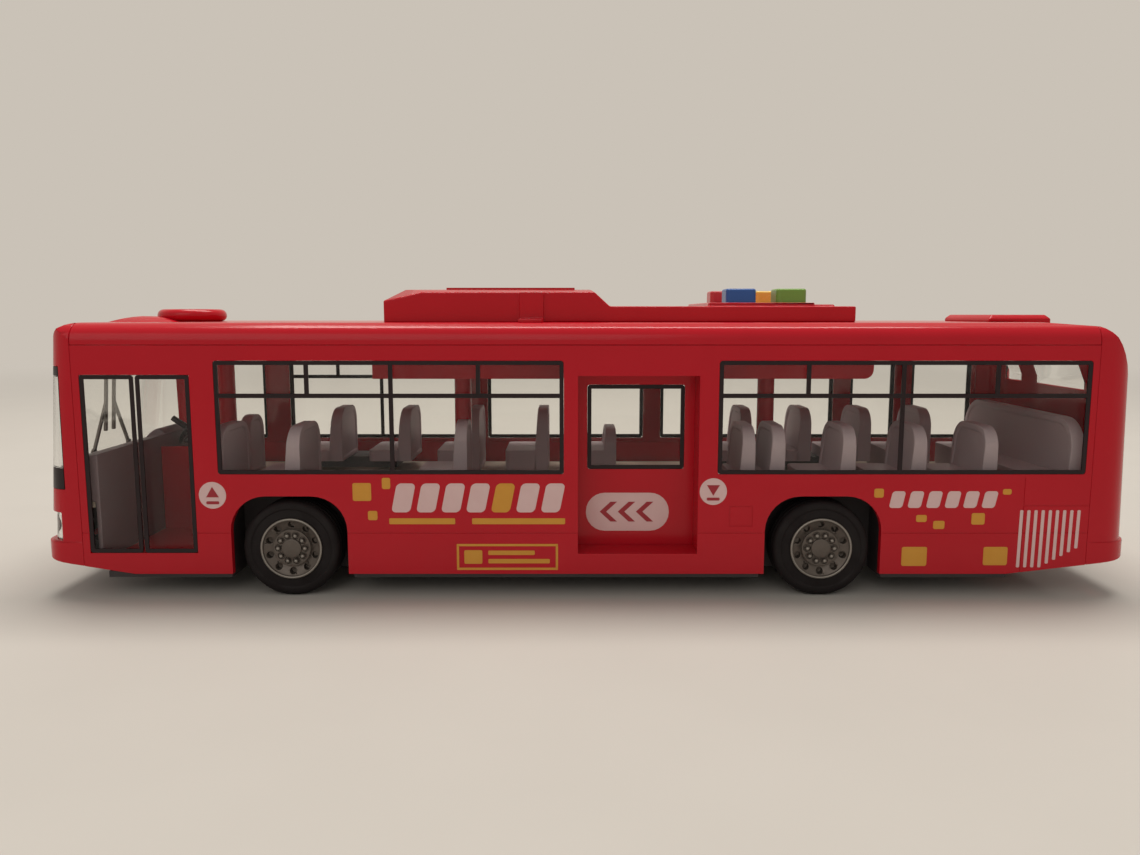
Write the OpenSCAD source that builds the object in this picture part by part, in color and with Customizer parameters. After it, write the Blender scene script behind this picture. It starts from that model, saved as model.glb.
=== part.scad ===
// Toy city bus that rolls on two axles, with a sliding middle door, an inertia drive on the
// rear axle and a sound unit with four push buttons in the roof.
// The front is at -X, the door side at -Y and up is +Z. The tyres stand on Z = 0.

/* [Side layout, nose to tail] */
// Length of the front cap, from the nose to its seam
nose_cap_len = 11.6; // [11:0.1:18]
// Red margin between the front cap seam and the front door
door_margin = 1.9; // [1.6:0.1:6]
// Width of the front door
front_door_w = 28.7; // [24:0.1:40]
// Pillar between the front door and the front window
front_pillar_w = 6.3; // [4:0.1:14]
// Length of the front side window
front_window_len = 91.3; // [80:0.1:120]
// Pillar between the front window and the middle doorway
mid_pillar_w = 3.7; // [3.2:0.1:10]
// Width of the middle doorway
mid_door_w = 31.8; // [26:0.1:38]
// Pillar between the middle doorway and the rear window
rear_pillar_w = 5; // [3.4:0.1:12]
// Length of the rear side window
rear_window_len = 97.1; // [88:0.1:130]
// Red margin between the rear window and the rear cap seam
rear_margin = 1.7; // [1.6:0.1:6]
// Length of the rear cap, from its seam to the tail
tail_cap_len = 12.9; // [12:0.1:20]

/* [Body shell] */
// Width over the side panels
bus_w = 73; // [70:0.5:84]
// Height of the roof skin above the floor
roof_z = 73.2; // [70:0.1:82]
// Drop from the roof skin to the seam over the side panels
cantrail_drop = 5.8; // [5.6:0.1:6.6]
// Height of the lower edge of the side panels
skirt_z = 6.4; // [5.6:0.1:7.6]
// Wall of the moulded shell
wall = 1.8; // [1.4:0.1:2.2]
// Open width of the seams between shell pieces
seam_gap = 0.1; // [0.05:0.05:0.3]
// Radius along the roof edges
roof_edge_r = 5; // [3:0.5:5.5]
// Depth of the moulded panel lines
panel_line_d = 0.15; // [0.1:0.05:0.6]

/* [Nose and tail] */
// Angle at which the nose leans back
nose_lean = 4.1; // [1:0.1:5]
// Angle at which the tail leans forward
tail_lean = 1.4; // [0:0.1:3]
// Plan radius of the nose corners
nose_corner_r = 7; // [4:0.5:7]
// Plan radius of the tail corners
tail_corner_r = 8; // [4:0.5:8]
// Height of the bumpers' lower edge
bumper_z0 = 10.4; // [8.5:0.1:11.5]
// Height of the bumpers' upper edge
bumper_z1 = 15.1; // [13.5:0.1:15.3]
// How far the bumpers stand proud
bumper_proud = 0.8; // [0.4:0.1:2]
// Length of the underside sweep at the nose
nose_sweep_len = 25; // [15:1:35]
// Length of the underside sweep at the tail
tail_sweep_len = 34; // [20:1:40]

/* [Windows and doors] */
// Height of the window sills
sill_z = 33.4; // [31.5:0.1:36]
// Drop from the roof skin to the window heads
head_drop = 9.8; // [9.2:0.1:11.2]
// Height of the top lights over their bar
toplight_h = 9.2; // [6:0.1:14]
// Width of the black window bars
bar_w = 1.15; // [0.6:0.05:1.4]
// Thickness of the black window bars
bar_t = 0.35; // [0.2:0.05:0.5]
// Thickness of the clear plate behind a window
pane_t = 1; // [0.6:0.1:1.3]
// How far a clear plate laps behind its opening
pane_lap = 1.3; // [0.8:0.1:1.5]
// Height of the front door's lower edge
front_door_z0 = 12.1; // [11:0.1:15]
// Drop from the roof skin to the front door's upper edge
front_door_drop = 13.5; // [11.2:0.1:17]
// Height of the middle doorway's sill
mid_door_z0 = 11.9; // [11:0.1:14]
// Drop from the roof skin to the middle doorway's head
mid_door_drop = 13.8; // [13.2:0.1:17]
// Gap between the sliding door's track and the sound unit's tray
tray_gap = 3.9; // [1:0.1:5]
// Thickness of the sliding door
door_t = 1.6; // [1.2:0.1:2]
// Travel of the sliding door towards the nose
door_travel = 28.5; // [20:0.5:29]

/* [Wheels] */
// Front axle behind the front door's rear edge
front_axle_back = 24.5; // [22:0.1:40]
// Rear axle behind the middle doorway's rear edge
rear_axle_back = 33.4; // [30:0.1:45]
// Outer radius of the tyres
tyre_r = 13; // [12:0.1:13.6]
// Width of the tyres
tyre_w = 9; // [7:0.1:9.5]
// How far the tyres stand inside the side panels
tyre_inset = 1; // [0.5:0.1:2]
// Outer radius of the rims
rim_r = 8.3; // [7.6:0.1:9]
// Radius of the axles
axle_r = 1.25; // [1:0.05:1.5]
// Gap between tyre and arch, fore and aft
arch_gap_x = 2.5; // [1.5:0.1:4]
// Gap between tyre and arch, above
arch_gap_z = 1.5; // [1:0.1:2]
// Radius of the arch corners
arch_r = 9.4; // [5:0.1:12]

/* [Inside] */
// Height of the cabin floor
deck_z = 25.5; // [25.2:0.1:26.5]
// Height of the seat backs as a share of the room under the tray
seat_share = 0.625; // [0.5:0.005:0.75]
// Spacing of the seats in front of the doorway
front_seat_pitch = 21.7; // [20:0.1:24]
// Spacing of the seats behind the doorway
rear_seat_pitch = 18.9; // [17:0.1:19.5]
// Depth of the sound unit's tray under the roof
tray_drop = 13.9; // [13:0.1:16]

/* [Roof] */
// Length of the tall front part of the roof pod
pod_front_len = 62; // [58:0.5:66]
// Length of the low rear part of the roof pod
pod_rear_len = 67.5; // [66:0.5:76]
// Width of the roof pod
pod_w = 44; // [42:0.5:50]
// Height of the pod's front part above the roof
pod_front_h = 8.9; // [8:0.1:11]
// Height of the pod's rear part above the roof
pod_rear_h = 4.3; // [4:0.1:5]
// Width of each square button
button_w = 8.4; // [7:0.1:10.5]
// Height of the buttons above their pad
button_h = 3.9; // [2.5:0.1:6]
// Travel of the buttons
button_travel = 1.2; // [0.6:0.1:1.6]
// Radius of the round roof vent
vent_r = 9.6; // [7:0.1:14]

/* [Hidden] */

$fn = 48;
// Steps in a quarter turn of an outline's corner
arc_n = 8;
// Overrun of every cut
over = 1;

// Colours
red = [0.70, 0.12, 0.15];
black = [0.10, 0.10, 0.11];
clear = [0.85, 0.90, 0.92, 0.35];
seat_grey = [0.42, 0.39, 0.36];
floor_grey = [0.62, 0.58, 0.53];
rim_grey = [0.47, 0.45, 0.42];
steel = [0.70, 0.71, 0.73];
white = [0.90, 0.90, 0.88];

// Clearances
fit_clear = 0.1;
pane_gap = 0.1;
press_clear = 0.02;
run_clear = 0.05;
slide_clear = 0.3;
inner_clear = 0.4;

// Stations along the bus
bus_len = nose_cap_len + door_margin + front_door_w + front_pillar_w + front_window_len
    + mid_pillar_w + mid_door_w + rear_pillar_w + rear_window_len + rear_margin + tail_cap_len;
nose_x = -bus_len / 2;
tail_x = bus_len / 2;
nose_seam_x = nose_x + nose_cap_len;
front_door_x0 = nose_seam_x + door_margin;
front_door_x1 = front_door_x0 + front_door_w;
front_win_x0 = front_door_x1 + front_pillar_w;
front_win_x1 = front_win_x0 + front_window_len;
mid_door_x0 = front_win_x1 + mid_pillar_w;
mid_door_x1 = mid_door_x0 + mid_door_w;
rear_win_x0 = mid_door_x1 + rear_pillar_w;
rear_win_x1 = rear_win_x0 + rear_window_len;
tail_seam_x = rear_win_x1 + rear_margin;
front_axle_x = front_door_x1 + front_axle_back;
rear_axle_x = mid_door_x1 + rear_axle_back;
axle_z = tyre_r;

// Side and roof faces
half_w = bus_w / 2;
side_in_y = half_w - wall;
roof_in_z = roof_z - wall;
cantrail_z = roof_z - cantrail_drop;
head_z = roof_z - head_drop;
transom_z = head_z - toplight_h;
front_door_z1 = roof_z - front_door_drop;
mid_door_z1 = roof_z - mid_door_drop;
nose_top_r = 8;
tail_curve_drop = 17.2;
tail_crown_drop = 2.3;
tail_crown_in = 4.7;
tail_curve_len = 12.5;
tail_ridge_drop = 1;
tail_slope_len = 26;

// Windows
window_r = 0.8;
front_mullion_share = 0.505;
rear_mullion_share = 0.495;
front_toplight_shares = [0.265, 0.755];
rear_toplight_shares = [0.24, 0.748];
far_pillar_w = 5.8;
far_driver_len = 24.7;
far_gap_w = 8.1;
far_lens = [61.3, 52.9, 58.7, 14.9];
screen_wrap = 7.8;
screen_foot_share = 0.4768;
screen_z0 = screen_foot_share * roof_z;
screen_head_share = 0.8101;
screen_z1 = screen_head_share * roof_z;
cowl_h = 5.6;
header_h = 2.5;
rear_pane_in = 5;
rear_pane_w = 9;
rear_post_w = 9.5;
rear_pane_ys = [half_w - rear_pane_in, half_w - rear_pane_in - rear_pane_w,
    half_w - rear_pane_in - rear_pane_w - rear_post_w];
rear_panes = [[-rear_pane_ys[0], -rear_pane_ys[1]], [-rear_pane_ys[2], rear_pane_ys[2]],
    [rear_pane_ys[1], rear_pane_ys[0]]];
rear_pane_drop = 9;
rear_pane_h = 10.4;
rear_pane_z1 = roof_z - rear_pane_drop;
rear_pane_z0 = rear_pane_z1 - rear_pane_h;
leaf_gap = 0.55;

// Lamps
lamp_gap = 0.3;
lamp_z0 = bumper_z1 + lamp_gap;
lamp_h = 7.6;
headlamp_w = 17.5;
headlamp_y0 = half_w - headlamp_w;
headlamp_depth = 6.2;
tail_lamp_depth = 9;
lamp_recess = 0.9;
lens_t = 1.2;
tail_lamp_w = 6.8;
tail_lamp_out = 4.7;
tail_lamp_y1 = half_w - tail_lamp_out;
tail_lamp_y0 = tail_lamp_y1 - tail_lamp_w;
tail_lamp_h = 15;

// Sliding door and its track
lip_t = 0.9;
pod_half = pod_w / 2;
button_side_in = 8;
button_pitch_y = 2 * (pod_half - button_side_in);
board_edge = 4;
board_half = button_pitch_y / 2 + board_edge;
tray_side = 2;
tray_half = board_half + tray_side;
door_y1 = -tray_half - tray_gap - lip_t - slide_clear;
door_y0 = door_y1 - door_t;
recess_d = half_w + door_y0 - slide_clear;
door_lap = 1.5;
door_foot = 0.9;
door_head = 5.2;
jamb_t = 1.4;
track_t = 1.2;
lip_h = 1.8;
stop_w = 1.2;
door_z0 = mid_door_z0 - door_foot;
door_z1 = mid_door_z1 + door_head;
track_x0 = mid_door_x0 - door_lap - door_travel - slide_clear - stop_w;
track_x1 = mid_door_x1 + door_lap + slide_clear + stop_w;
door_win_margin = 2.6;
door_win_z0 = 33.1;
door_win_drop = 3;
door_win_z1 = mid_door_z1 - door_win_drop;
door_pane_t = 0.5;

// Chassis
plate_z0 = 4.9;
plate_t = 1.7;
plate_z1 = plate_z0 + plate_t;
plate_nose_gap = 17;
plate_tail_gap = 33;
plate_x0 = nose_x + plate_nose_gap;
plate_x1 = tail_x - plate_tail_gap;
plate_half = side_in_y - fit_clear - fit_clear;
web_t = 1.6;
web_gap = 0.25;
tyre_in_y = half_w - tyre_inset - tyre_w;
web_out = min(-door_y1 - slide_clear - lip_t - web_gap, tyre_in_y - inner_clear);
web_in = web_out - web_t;
well_wall = 1.2;
well_gap_x = 1;
well_half = tyre_r + arch_gap_x + well_gap_x;
arch_top_z = 2 * tyre_r + arch_gap_z;
well_in_z = arch_top_z + slide_clear;
well_top_z = well_in_z + well_wall;
deck_t = 1.5;
deck_in_z = deck_z - deck_t;
deck_half = side_in_y - pane_gap - pane_t - slide_clear;
deck_x1 = tail_seam_x - inner_clear;
step_y = 4;
vestibule_y = 12;
front_strip_w = 2.8;

// Screw posts and screws
post_r = 2.5;
boss_r = 3;
post_front_in = 4;
post_mid_in = 34.3;
post_rear_in = 25;
post_front_x = front_door_x1 - post_front_in;
post_mid_x = mid_door_x0 - post_mid_in;
post_rear_x = mid_door_x1 + post_rear_in;
screw_r = 1;
screw_head_r = 2;
screw_head_h = 1;
screw_bite = 7;
screw_len = 13;

// Roof pod and sound unit
pod_lead = 53.2;
pod_x0 = mid_door_x0 - pod_lead;
pod_x1 = pod_x0 + pod_front_len;
pod_x2 = pod_x1 + pod_rear_len;
pod_wall = 1.5;
pod_brow_h = 5.7;
pod_brow_len = 5;
pod_fall_len = 5;
pod_edge_drop = 0.8;
pod_edge_w = 5;
facet_tilt = 20.9;
facet_turn = 54;
pad_h = 1;
pad_rim = 5.4;
pad_rim_back = 1.5;
pad_step_len = 5.4;
pad_step_h = 0.5;
strap_w = 6.6;
strap_t = 0.9;
strap_back = 40.6;
strap_x = pod_x0 + strap_back;
strap_reach = half_w - roof_edge_r;
pod_lip = 4;
cover_back = 16.4;
cover_x0 = pod_x0 + cover_back;
cover_len = 36;
cover_w = 30;
cover_t = 1.6;
cover_proud = 0.6;
button_pitch_x = 14;
button_back = 36.7;
button_x0 = pod_x1 + button_back;
button_hole_gap = 0.25;
button_r = 1.2;
flange_w = 1;
flange_h = 1.2;
pad_z = roof_z + pod_rear_h + pad_h;
flange_z1 = roof_z + pod_rear_h - pod_wall - slide_clear;
flange_z0 = flange_z1 - flange_h;
tray_lead = 3.8;
tray_x0 = pod_x0 - tray_lead;
tray_tail = 9.4;
tray_wall = 1.4;
tray_r = 2.5;
tray_z0 = roof_in_z - tray_drop;
tray_floor_z = tray_z0 + tray_wall;
cell_r = 7.1;
cell_len = 49;
cell_nub_r = 2.7;
cell_nub_h = 1.4;
cell_gap = 0.6;
cell_lead = 10.3;
cell_x0 = cover_x0 - cell_lead;
cradle_h = 4;
cell_z = tray_floor_z + cradle_h + cell_r;
cradle_t = 1.6;
cradle_reach = 3.2;
board_t = 1.6;
board_drop = 1.4;
board_z1 = roof_in_z - board_drop;
board_z0 = board_z1 - board_t;
board_back = 2;
board_x0 = pod_x1 + board_back;
board_len = 62;
tray_x1 = board_x0 + board_len + tray_tail;
standoff_r = 1.8;
standoff_in = 3;
dome_r = 3.4;
dome_wall = 0.8;
speaker_r = 14;
speaker_h = 6;
speaker_rim_h = 1.6;
speaker_magnet_r = 7;
speaker_back = 18;
speaker_x = board_x0 + speaker_back;
grille_hole_r = 1.1;
grille_ring_r = 6;
grille_count = 6;

// Roof fittings
vent_back = 28.7;
vent_x = nose_x + vent_back;
vent_h = 3.6;
vent_round = 1.8;
vent_turn = 75;
vent_rim_w = 3.4;
vent_dish_d = 0.5;
fairing_lead = 19.5;
fairing_half = 15;
fairing_h = 1.8;
fairing_crown_share = 0.5;
fairing_edge = 6;
fairing_sink = 0.5;
fairing_dip = 0.15;
hatch_lead = 32.4;
hatch_x0 = tail_x - hatch_lead;
hatch_len = 17.5;
hatch_w = 30;
hatch_h = 2;
hatch_edge = 1.1;

// Cabin
seat_top_z = deck_z + seat_share * (tray_z0 - deck_z);
seat_y0 = 12;
seat_wall_gap = 1;
seat_y1 = deck_half - seat_wall_gap;
seat_slide_y0 = 8.5;
seat_slide_y1 = web_in - inner_clear;
seat_cushion_len = 9;
seat_cushion_h = 7;
seat_back_t = 4.6;
seat_back_top_t = 3.2;
front_seat_lead = 2;
rear_seat_lead = 14.4;
front_seat_x = front_axle_x - front_seat_lead;
rear_seat_x = rear_axle_x - rear_seat_lead;
front_seat_count = 5;
near_front_seats = [0, 2];
rear_seat_count = 4;
fold_seat_drop = 6.5;
bench_rise = 2;
screen_foot = 1.2;
dash_len = 8.6;
dash_z1 = 38.4;
dash_slope = 1.6;
dash_skirt_t = 1.4;
dash_half = deck_half;
binnacle_w = 18;
binnacle_y = 16;
binnacle_len = 5;
binnacle_h = 2.2;
driver_back = 23;
driver_drop = 2;
driver_x = front_door_x0 + driver_back;
driver_w = 13;
driver_y = 16;
wheel_ring_r = 4.6;
wheel_ring_t = 0.7;
wheel_hub_r = 1.5;
wheel_column_r = 0.9;
wheel_tilt = 35;
column_len = 7;

// Wheels
tread_grooves = 3;
groove_w = 0.7;
groove_d = 0.5;
shoulder_r = 1.6;
sidewall_step = 0.35;
sidewall_share = 0.55;
rim_ring_t = 0.7;
rim_lip = 0.5;
dish_d = 1.7;
flange_r = 5;
hub_d = 0.8;
cap_r = 2.6;
vent_hole_r = 0.9;
vent_ring_r = 6.35;
vent_hole_d = 1.2;
wheel_nut_r = 0.6;
nut_well_r = 0.95;
nut_ring_r = 3.6;
nut_h = 0.75;
nut_well_d = 0.35;
nut_count = 10;
rim_back = 1.6;
rim_barrel_t = 1;
rim_hub_r = 3;

// Inertia drive
gear_module = 0.6;
pressure_angle = 25;
addendum_share = 0.8;
dedendum_share = 1.05;
backlash = 0.1;
big_teeth = 18;
small_teeth = 10;
flank_n = 5;
gear_pitch = gear_module * (big_teeth + small_teeth) / 2;
train_tilt = 5.5;
idler_pos = [rear_axle_x - gear_pitch * cos(train_tilt), axle_z + gear_pitch * sin(train_tilt)];
flywheel_pos = [rear_axle_x - 2 * gear_pitch * cos(train_tilt), axle_z + 2 * gear_pitch * sin(train_tilt)];
gear_w = 3;
gear_y0 = -9.5;
second_y0 = -4.8;
arbor_r = 0.8;
arbor_reach = 0.9;
flywheel_r = 6.1;
flywheel_w = 8;
flywheel_y0 = 1;
motor_wall = 1.2;
motor_half = 13;
motor_end_gap = 1;
motor_top_gap = 0.8;
motor_top_z = deck_in_z - motor_top_gap;
motor_x0 = flywheel_pos.x - flywheel_r - motor_end_gap - motor_wall;
motor_x1 = rear_axle_x + gear_module * (big_teeth / 2 + addendum_share) + motor_end_gap + motor_wall;

// Wipers
wiper_t = 0.8;
wiper_gap = 0.2;
wiper_w = 1;
blade_rise = 6.1;
blade_z0 = screen_z0 + blade_rise;
blade_drop = 1.3;
blade_len = screen_z1 - blade_drop - blade_z0;
blade_ys = [-4.2, 0.4];
pivot_ys = [-10.6, 9.6];
pivot_rise = 0.7;
pivot_z = screen_z0 + pivot_rise;
pivot_r = 1.1;

// Outlines
function polar(r, a) = r * [cos(a), sin(a)];
function arc(c, r, a0, a1) = [for (i = [0:arc_n]) c + polar(r, a0 + (a1 - a0) * i / arc_n)];
function rounded(lo, hi, r) = concat(
    arc([hi.x - r, hi.y - r], r, 0, 90), arc([lo.x + r, hi.y - r], r, 90, 180),
    arc([lo.x + r, lo.y + r], r, 180, 270), arc([hi.x - r, lo.y + r], r, 270, 360));
function curve(a, b, c) = [for (i = [0:arc_n]) let (t = i / arc_n)
    (1 - t) * (1 - t) * a + 2 * t * (1 - t) * b + t * t * c];

// Nose and tail face stations at a height
function nose_face(z) = nose_x + bumper_proud + (z - bumper_z1) * tan(nose_lean);
function tail_face(z) = tail_x - bumper_proud - (z - bumper_z1) * tan(tail_lean);

// Underside line, from the nose to the tail
function underside() = [
    [nose_x - over, bumper_z0 + over * (bumper_z0 - skirt_z) / nose_sweep_len],
    [nose_x + nose_sweep_len, skirt_z], [tail_x - tail_sweep_len, skirt_z],
    [tail_x + over, bumper_z0 + over * (bumper_z0 - skirt_z) / tail_sweep_len]];

// Side view, with its skin moved in; a moved one is open below
function profile(in) = let (
    zn = roof_z - nose_top_r, zt = roof_z - tail_curve_drop, zc = roof_z - tail_crown_drop,
    t0 = [tail_face(zt) - in, zt], t1 = [tail_face(zc) - tail_crown_in - in, zc - in],
    t2 = [tail_x - tail_curve_len, roof_z - tail_ridge_drop - in],
    t3 = [tail_x - tail_slope_len, roof_z - in])
    concat(
        in > 0 ? [[nose_x - over, -over], [tail_x + over, -over]] : underside(),
        [[tail_x + over, zt]], curve(t0, t1, t2), [t3],
        arc([nose_face(zn) + nose_top_r, zn], nose_top_r - in, 90, 180), [[nose_x - over, zn]]);

// Cross-section, with its skin moved in
function section(in) = let (h = half_w - in, t = roof_z - in, r = roof_edge_r - in) concat(
    [[-h, -over], [h, -over]], arc([h - r, t - r], r, 0, 90), arc([-h + r, t - r], r, 90, 180));

// Plan of one end, its face at x = 0 and its corners round
function end_plan(in, r) = let (h = half_w - in, q = r - in) concat(
    [[bus_len, -h], [bus_len, h]], arc([r, h - q], q, 90, 180), arc([r, -h + q], q, 180, 270));

// Slabs from outlines
module slab_x(x0, x1) translate([x0, 0, 0]) rotate([90, 0, 90]) linear_extrude(x1 - x0) children();
module slab_y(y0, y1) translate([0, y1, 0]) rotate([90, 0, 0]) linear_extrude(y1 - y0) children();
module slab_z(z0, z1) translate([0, 0, z0]) linear_extrude(z1 - z0) children();
module block(lo, hi) translate(lo) cube(hi - lo);
module rect(x0, x1, z0, z1) translate([x0, z0]) square([x1 - x0, z1 - z0]);
module grown_rect(x0, x1, z0, z1, d) rect(x0 - d, x1 + d, z0 - d, z1 + d);
module window_rect(x0, x1, z0, z1) polygon(rounded([x0, z0], [x1, z1], window_r));

// One leaning end of the body volume
module lean_end(in, r, lean) rotate([0, lean, 0]) slab_z(-bus_len, bus_len) polygon(end_plan(in, r));

// Body volume with its skin moved in
module tub(in) intersection() {
    slab_x(nose_x - over, tail_x + over) polygon(section(in));
    slab_y(-bus_w, bus_w) polygon(profile(in));
    translate([nose_x + bumper_proud, 0, bumper_z1]) lean_end(in, nose_corner_r, nose_lean);
    translate([tail_x - bumper_proud, 0, bumper_z1]) mirror([1, 0, 0])
        lean_end(in, tail_corner_r, tail_lean);
}

// Skin of the body between two depths
module skin(in0, in1) difference() {
    tub(in0);
    tub(in1);
}

// Bumper band of one end, its face at x = 0
module bumper(r) slab_z(0, bumper_z1) polygon(end_plan(0, r));

// Outline of an arch around a wheel
module arch(x) {
    w = tyre_r + arch_gap_x;
    polygon(concat([[x - w, -over], [x + w, -over]],
        arc([x + w - arch_r, arch_top_z - arch_r], arch_r, 0, 90),
        arc([x - w + arch_r, arch_top_z - arch_r], arch_r, 90, 180)));
}

// Openings of the far side as pairs of stations
far_front_x = front_door_x0 + far_driver_len + far_gap_w;
function sum_before(v, i) = i == 0 ? 0 : v[i - 1] + sum_before(v, i - 1);
far_starts = [for (i = [0:len(far_lens) - 1]) far_front_x + sum_before(far_lens, i) + i * far_pillar_w];
far_openings = concat(
    [[front_door_x0, front_door_x0 + far_driver_len]],
    [for (i = [0:len(far_lens) - 1]) [far_starts[i], far_starts[i] + far_lens[i]]],
    [[far_starts[len(far_lens) - 1] + far_lens[len(far_lens) - 1] + far_pillar_w, rear_win_x1]]);

module side_outline() intersection() {
    polygon(profile(0));
    rect(nose_seam_x + seam_gap / 2, tail_seam_x - seam_gap / 2, 0, cantrail_z - seam_gap / 2);
}

// Moulded lines on the lower side, drawn on the outline
line_w = 0.35;
belt_line_z = 17.8;
tail_line_z = 25.2;
hatch_line_z0 = 19.4;
hatch_line_z1 = 25;
flap_line_back = 8.2;
flap_line_w = 6.4;
tail_line_lead = 17.7;
module panel_lines() {
    rect(nose_x, tail_x, belt_line_z - line_w, belt_line_z);
    x0 = tail_seam_x - tail_line_lead;
    x1 = mid_door_x1 + flap_line_back;
    rect(x0, x0 + line_w, 0, sill_z - over);
    rect(x0, tail_seam_x, tail_line_z - line_w, tail_line_z);
    difference() {
        rect(x1, x1 + flap_line_w, hatch_line_z0, hatch_line_z1);
        rect(x1 + line_w, x1 + flap_line_w - line_w, hatch_line_z0 + line_w, hatch_line_z1 - line_w);
    }
}

// Step behind the front door: a tread on the panel and a wall between it and the driver
tread_z0 = 8.4;
tread_t = 1.2;
cab_wall_t = 0.8;
cab_wall_rise = 9.6;
module step_box() {
    x0 = dash_x1 + fit_clear;
    x1 = front_door_x1 - fit_clear;
    y1 = step_y - fit_clear;
    difference() {
        block([x0, -side_in_y - over, tread_z0], [x1, y1, tread_z0 + tread_t]);
        translate([post_front_x, 0, 0]) cylinder(r = boss_r + fit_clear, h = deck_z);
    }
    block([x0, y1 - cab_wall_t, tread_z0], [x1, y1, deck_z + cab_wall_rise]);
}

module near_side_panel() color(red) {
    step_box();
    near_wall();
}

module near_wall() difference() {
    slab_y(-half_w, -side_in_y) difference() {
        side_outline();
        window_rect(front_win_x0, front_win_x1, sill_z, head_z);
        window_rect(rear_win_x0, rear_win_x1, sill_z, head_z);
        rect(front_door_x0, front_door_x1, front_door_z0, front_door_z1);
        rect(mid_door_x0, mid_door_x1, mid_door_z0, mid_door_z1);
        arch(front_axle_x);
        arch(rear_axle_x);
    }
    slab_y(-half_w - over, -half_w + panel_line_d) panel_lines();
}

module far_side_panel() color(red) difference() {
    slab_y(side_in_y, half_w) difference() {
        side_outline();
        for (o = far_openings) window_rect(o[0], o[1], sill_z, head_z);
        arch(front_axle_x);
        arch(rear_axle_x);
    }
    slab_y(half_w - panel_line_d, half_w + over) panel_lines();
}

module roof_shell() color(red) {
    difference() {
        intersection() {
            skin(0, wall);
            block([nose_seam_x + seam_gap / 2, -bus_w, cantrail_z + seam_gap / 2],
                [tail_seam_x - seam_gap / 2, bus_w, roof_z + over]);
        }
        block([pod_x0 + pod_lip, -pod_half + pod_lip, 0],
            [pod_x2 - pod_lip, pod_half - pod_lip, roof_z + over]);
    }
    screw_post(post_front_x, roof_z - wall / 2);
}

// Post from the chassis boss up to a height, with a pilot hole for its screw
module screw_post(x, z1) translate([x, 0, deck_in_z]) difference() {
    cylinder(r = post_r, h = z1 - deck_in_z);
    translate([0, 0, -over]) cylinder(r = screw_r - fit_clear, h = screw_bite + over);
}

// Zone of the windscreen and its black bands
module screen_zone(z0, z1, gap) block(
    [nose_x - over, -bus_w, z0 + gap], [nose_x + screen_wrap - gap, bus_w, z1 - gap]);

// Zone of one lamp at an end, from a distance out from the middle
module lamp_zone(x0, x1, y0, y1, z0, z1, gap) for (s = [0, 1]) mirror([0, s, 0]) block(
    [x0 + gap, y0 + gap, z0 + gap], [x1 - gap, y1 - gap, z1 - gap]);

module headlamp_zone(gap) lamp_zone(
    nose_x - over, nose_x + headlamp_depth, headlamp_y0, half_w + over, lamp_z0, lamp_z0 + lamp_h, gap);
module tail_lamp_zone(gap) lamp_zone(
    tail_x - tail_lamp_depth, tail_x + over, tail_lamp_y0, tail_lamp_y1, lamp_z0, lamp_z0 + tail_lamp_h, gap);
module rear_pane_zone(gap) for (y = rear_panes) block(
    [tail_x - tail_cap_len + over, y[0] + gap, rear_pane_z0 + gap],
    [tail_x + over, y[1] - gap, rear_pane_z1 - gap]);

module front_cap() color(red) difference() {
    intersection() {
        union() {
            tub(0);
            translate([nose_x, 0, 0]) bumper(nose_corner_r);
        }
        slab_y(-bus_w, bus_w) polygon(profile(0));
        block([nose_x - over, -bus_w, 0], [nose_seam_x - seam_gap / 2, bus_w, roof_z + over]);
    }
    tub(wall);
    screen_zone(screen_z0 - cowl_h, screen_z1 + header_h, 0);
    headlamp_zone(0);
}

module rear_cap() color(red) difference() {
    intersection() {
        union() {
            tub(0);
            translate([tail_x, 0, 0]) mirror([1, 0, 0]) bumper(tail_corner_r);
        }
        slab_y(-bus_w, bus_w) polygon(profile(0));
        block([tail_seam_x + seam_gap / 2, -bus_w, 0], [tail_x + over, bus_w, roof_z + over]);
    }
    tub(wall);
    rear_pane_zone(0);
    tail_lamp_zone(0);
}

module windscreen() color(clear) intersection() {
    skin(0, wall);
    screen_zone(screen_z0, screen_z1, fit_clear);
}

module windscreen_bands() color(black) intersection() {
    skin(0, wall);
    union() {
        screen_zone(screen_z0 - cowl_h, screen_z0, fit_clear);
        screen_zone(screen_z1, screen_z1 + header_h, fit_clear);
    }
}

module rear_windows() color(clear) intersection() {
    skin(0, wall);
    rear_pane_zone(fit_clear);
}

module headlamp_lenses() color(clear) intersection() {
    skin(lamp_recess, lamp_recess + lens_t);
    headlamp_zone(fit_clear);
}

module tail_lamp_lenses() color([0.75, 0.20, 0.05]) intersection() {
    skin(lamp_recess, lamp_recess + lens_t);
    tail_lamp_zone(fit_clear);
}

// Clear moulding of one near opening: a plug in the panel and a plate behind it
module near_pane(x0, x1, z0, z1) {
    y0 = -side_in_y + pane_gap;
    slab_y(-half_w + bar_t, y0 + pane_t) grown_rect(x0, x1, z0, z1, -fit_clear);
    slab_y(y0, y0 + pane_t) grown_rect(x0, x1, z0, z1, pane_lap);
}

module near_front_window() color(clear) near_pane(front_win_x0, front_win_x1, sill_z, head_z);
module near_rear_window() color(clear) near_pane(rear_win_x0, rear_win_x1, sill_z, head_z);
module front_door() color(clear) near_pane(front_door_x0, front_door_x1, front_door_z0, front_door_z1);

module far_windows() color(clear) {
    y1 = side_in_y - pane_gap;
    for (o = far_openings)
        slab_y(y1 - pane_t, half_w - bar_t) grown_rect(o[0], o[1], sill_z, head_z, -fit_clear);
    slab_y(y1 - pane_t, y1) grown_rect(front_door_x0, rear_win_x1, sill_z, head_z, pane_lap);
}

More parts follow.
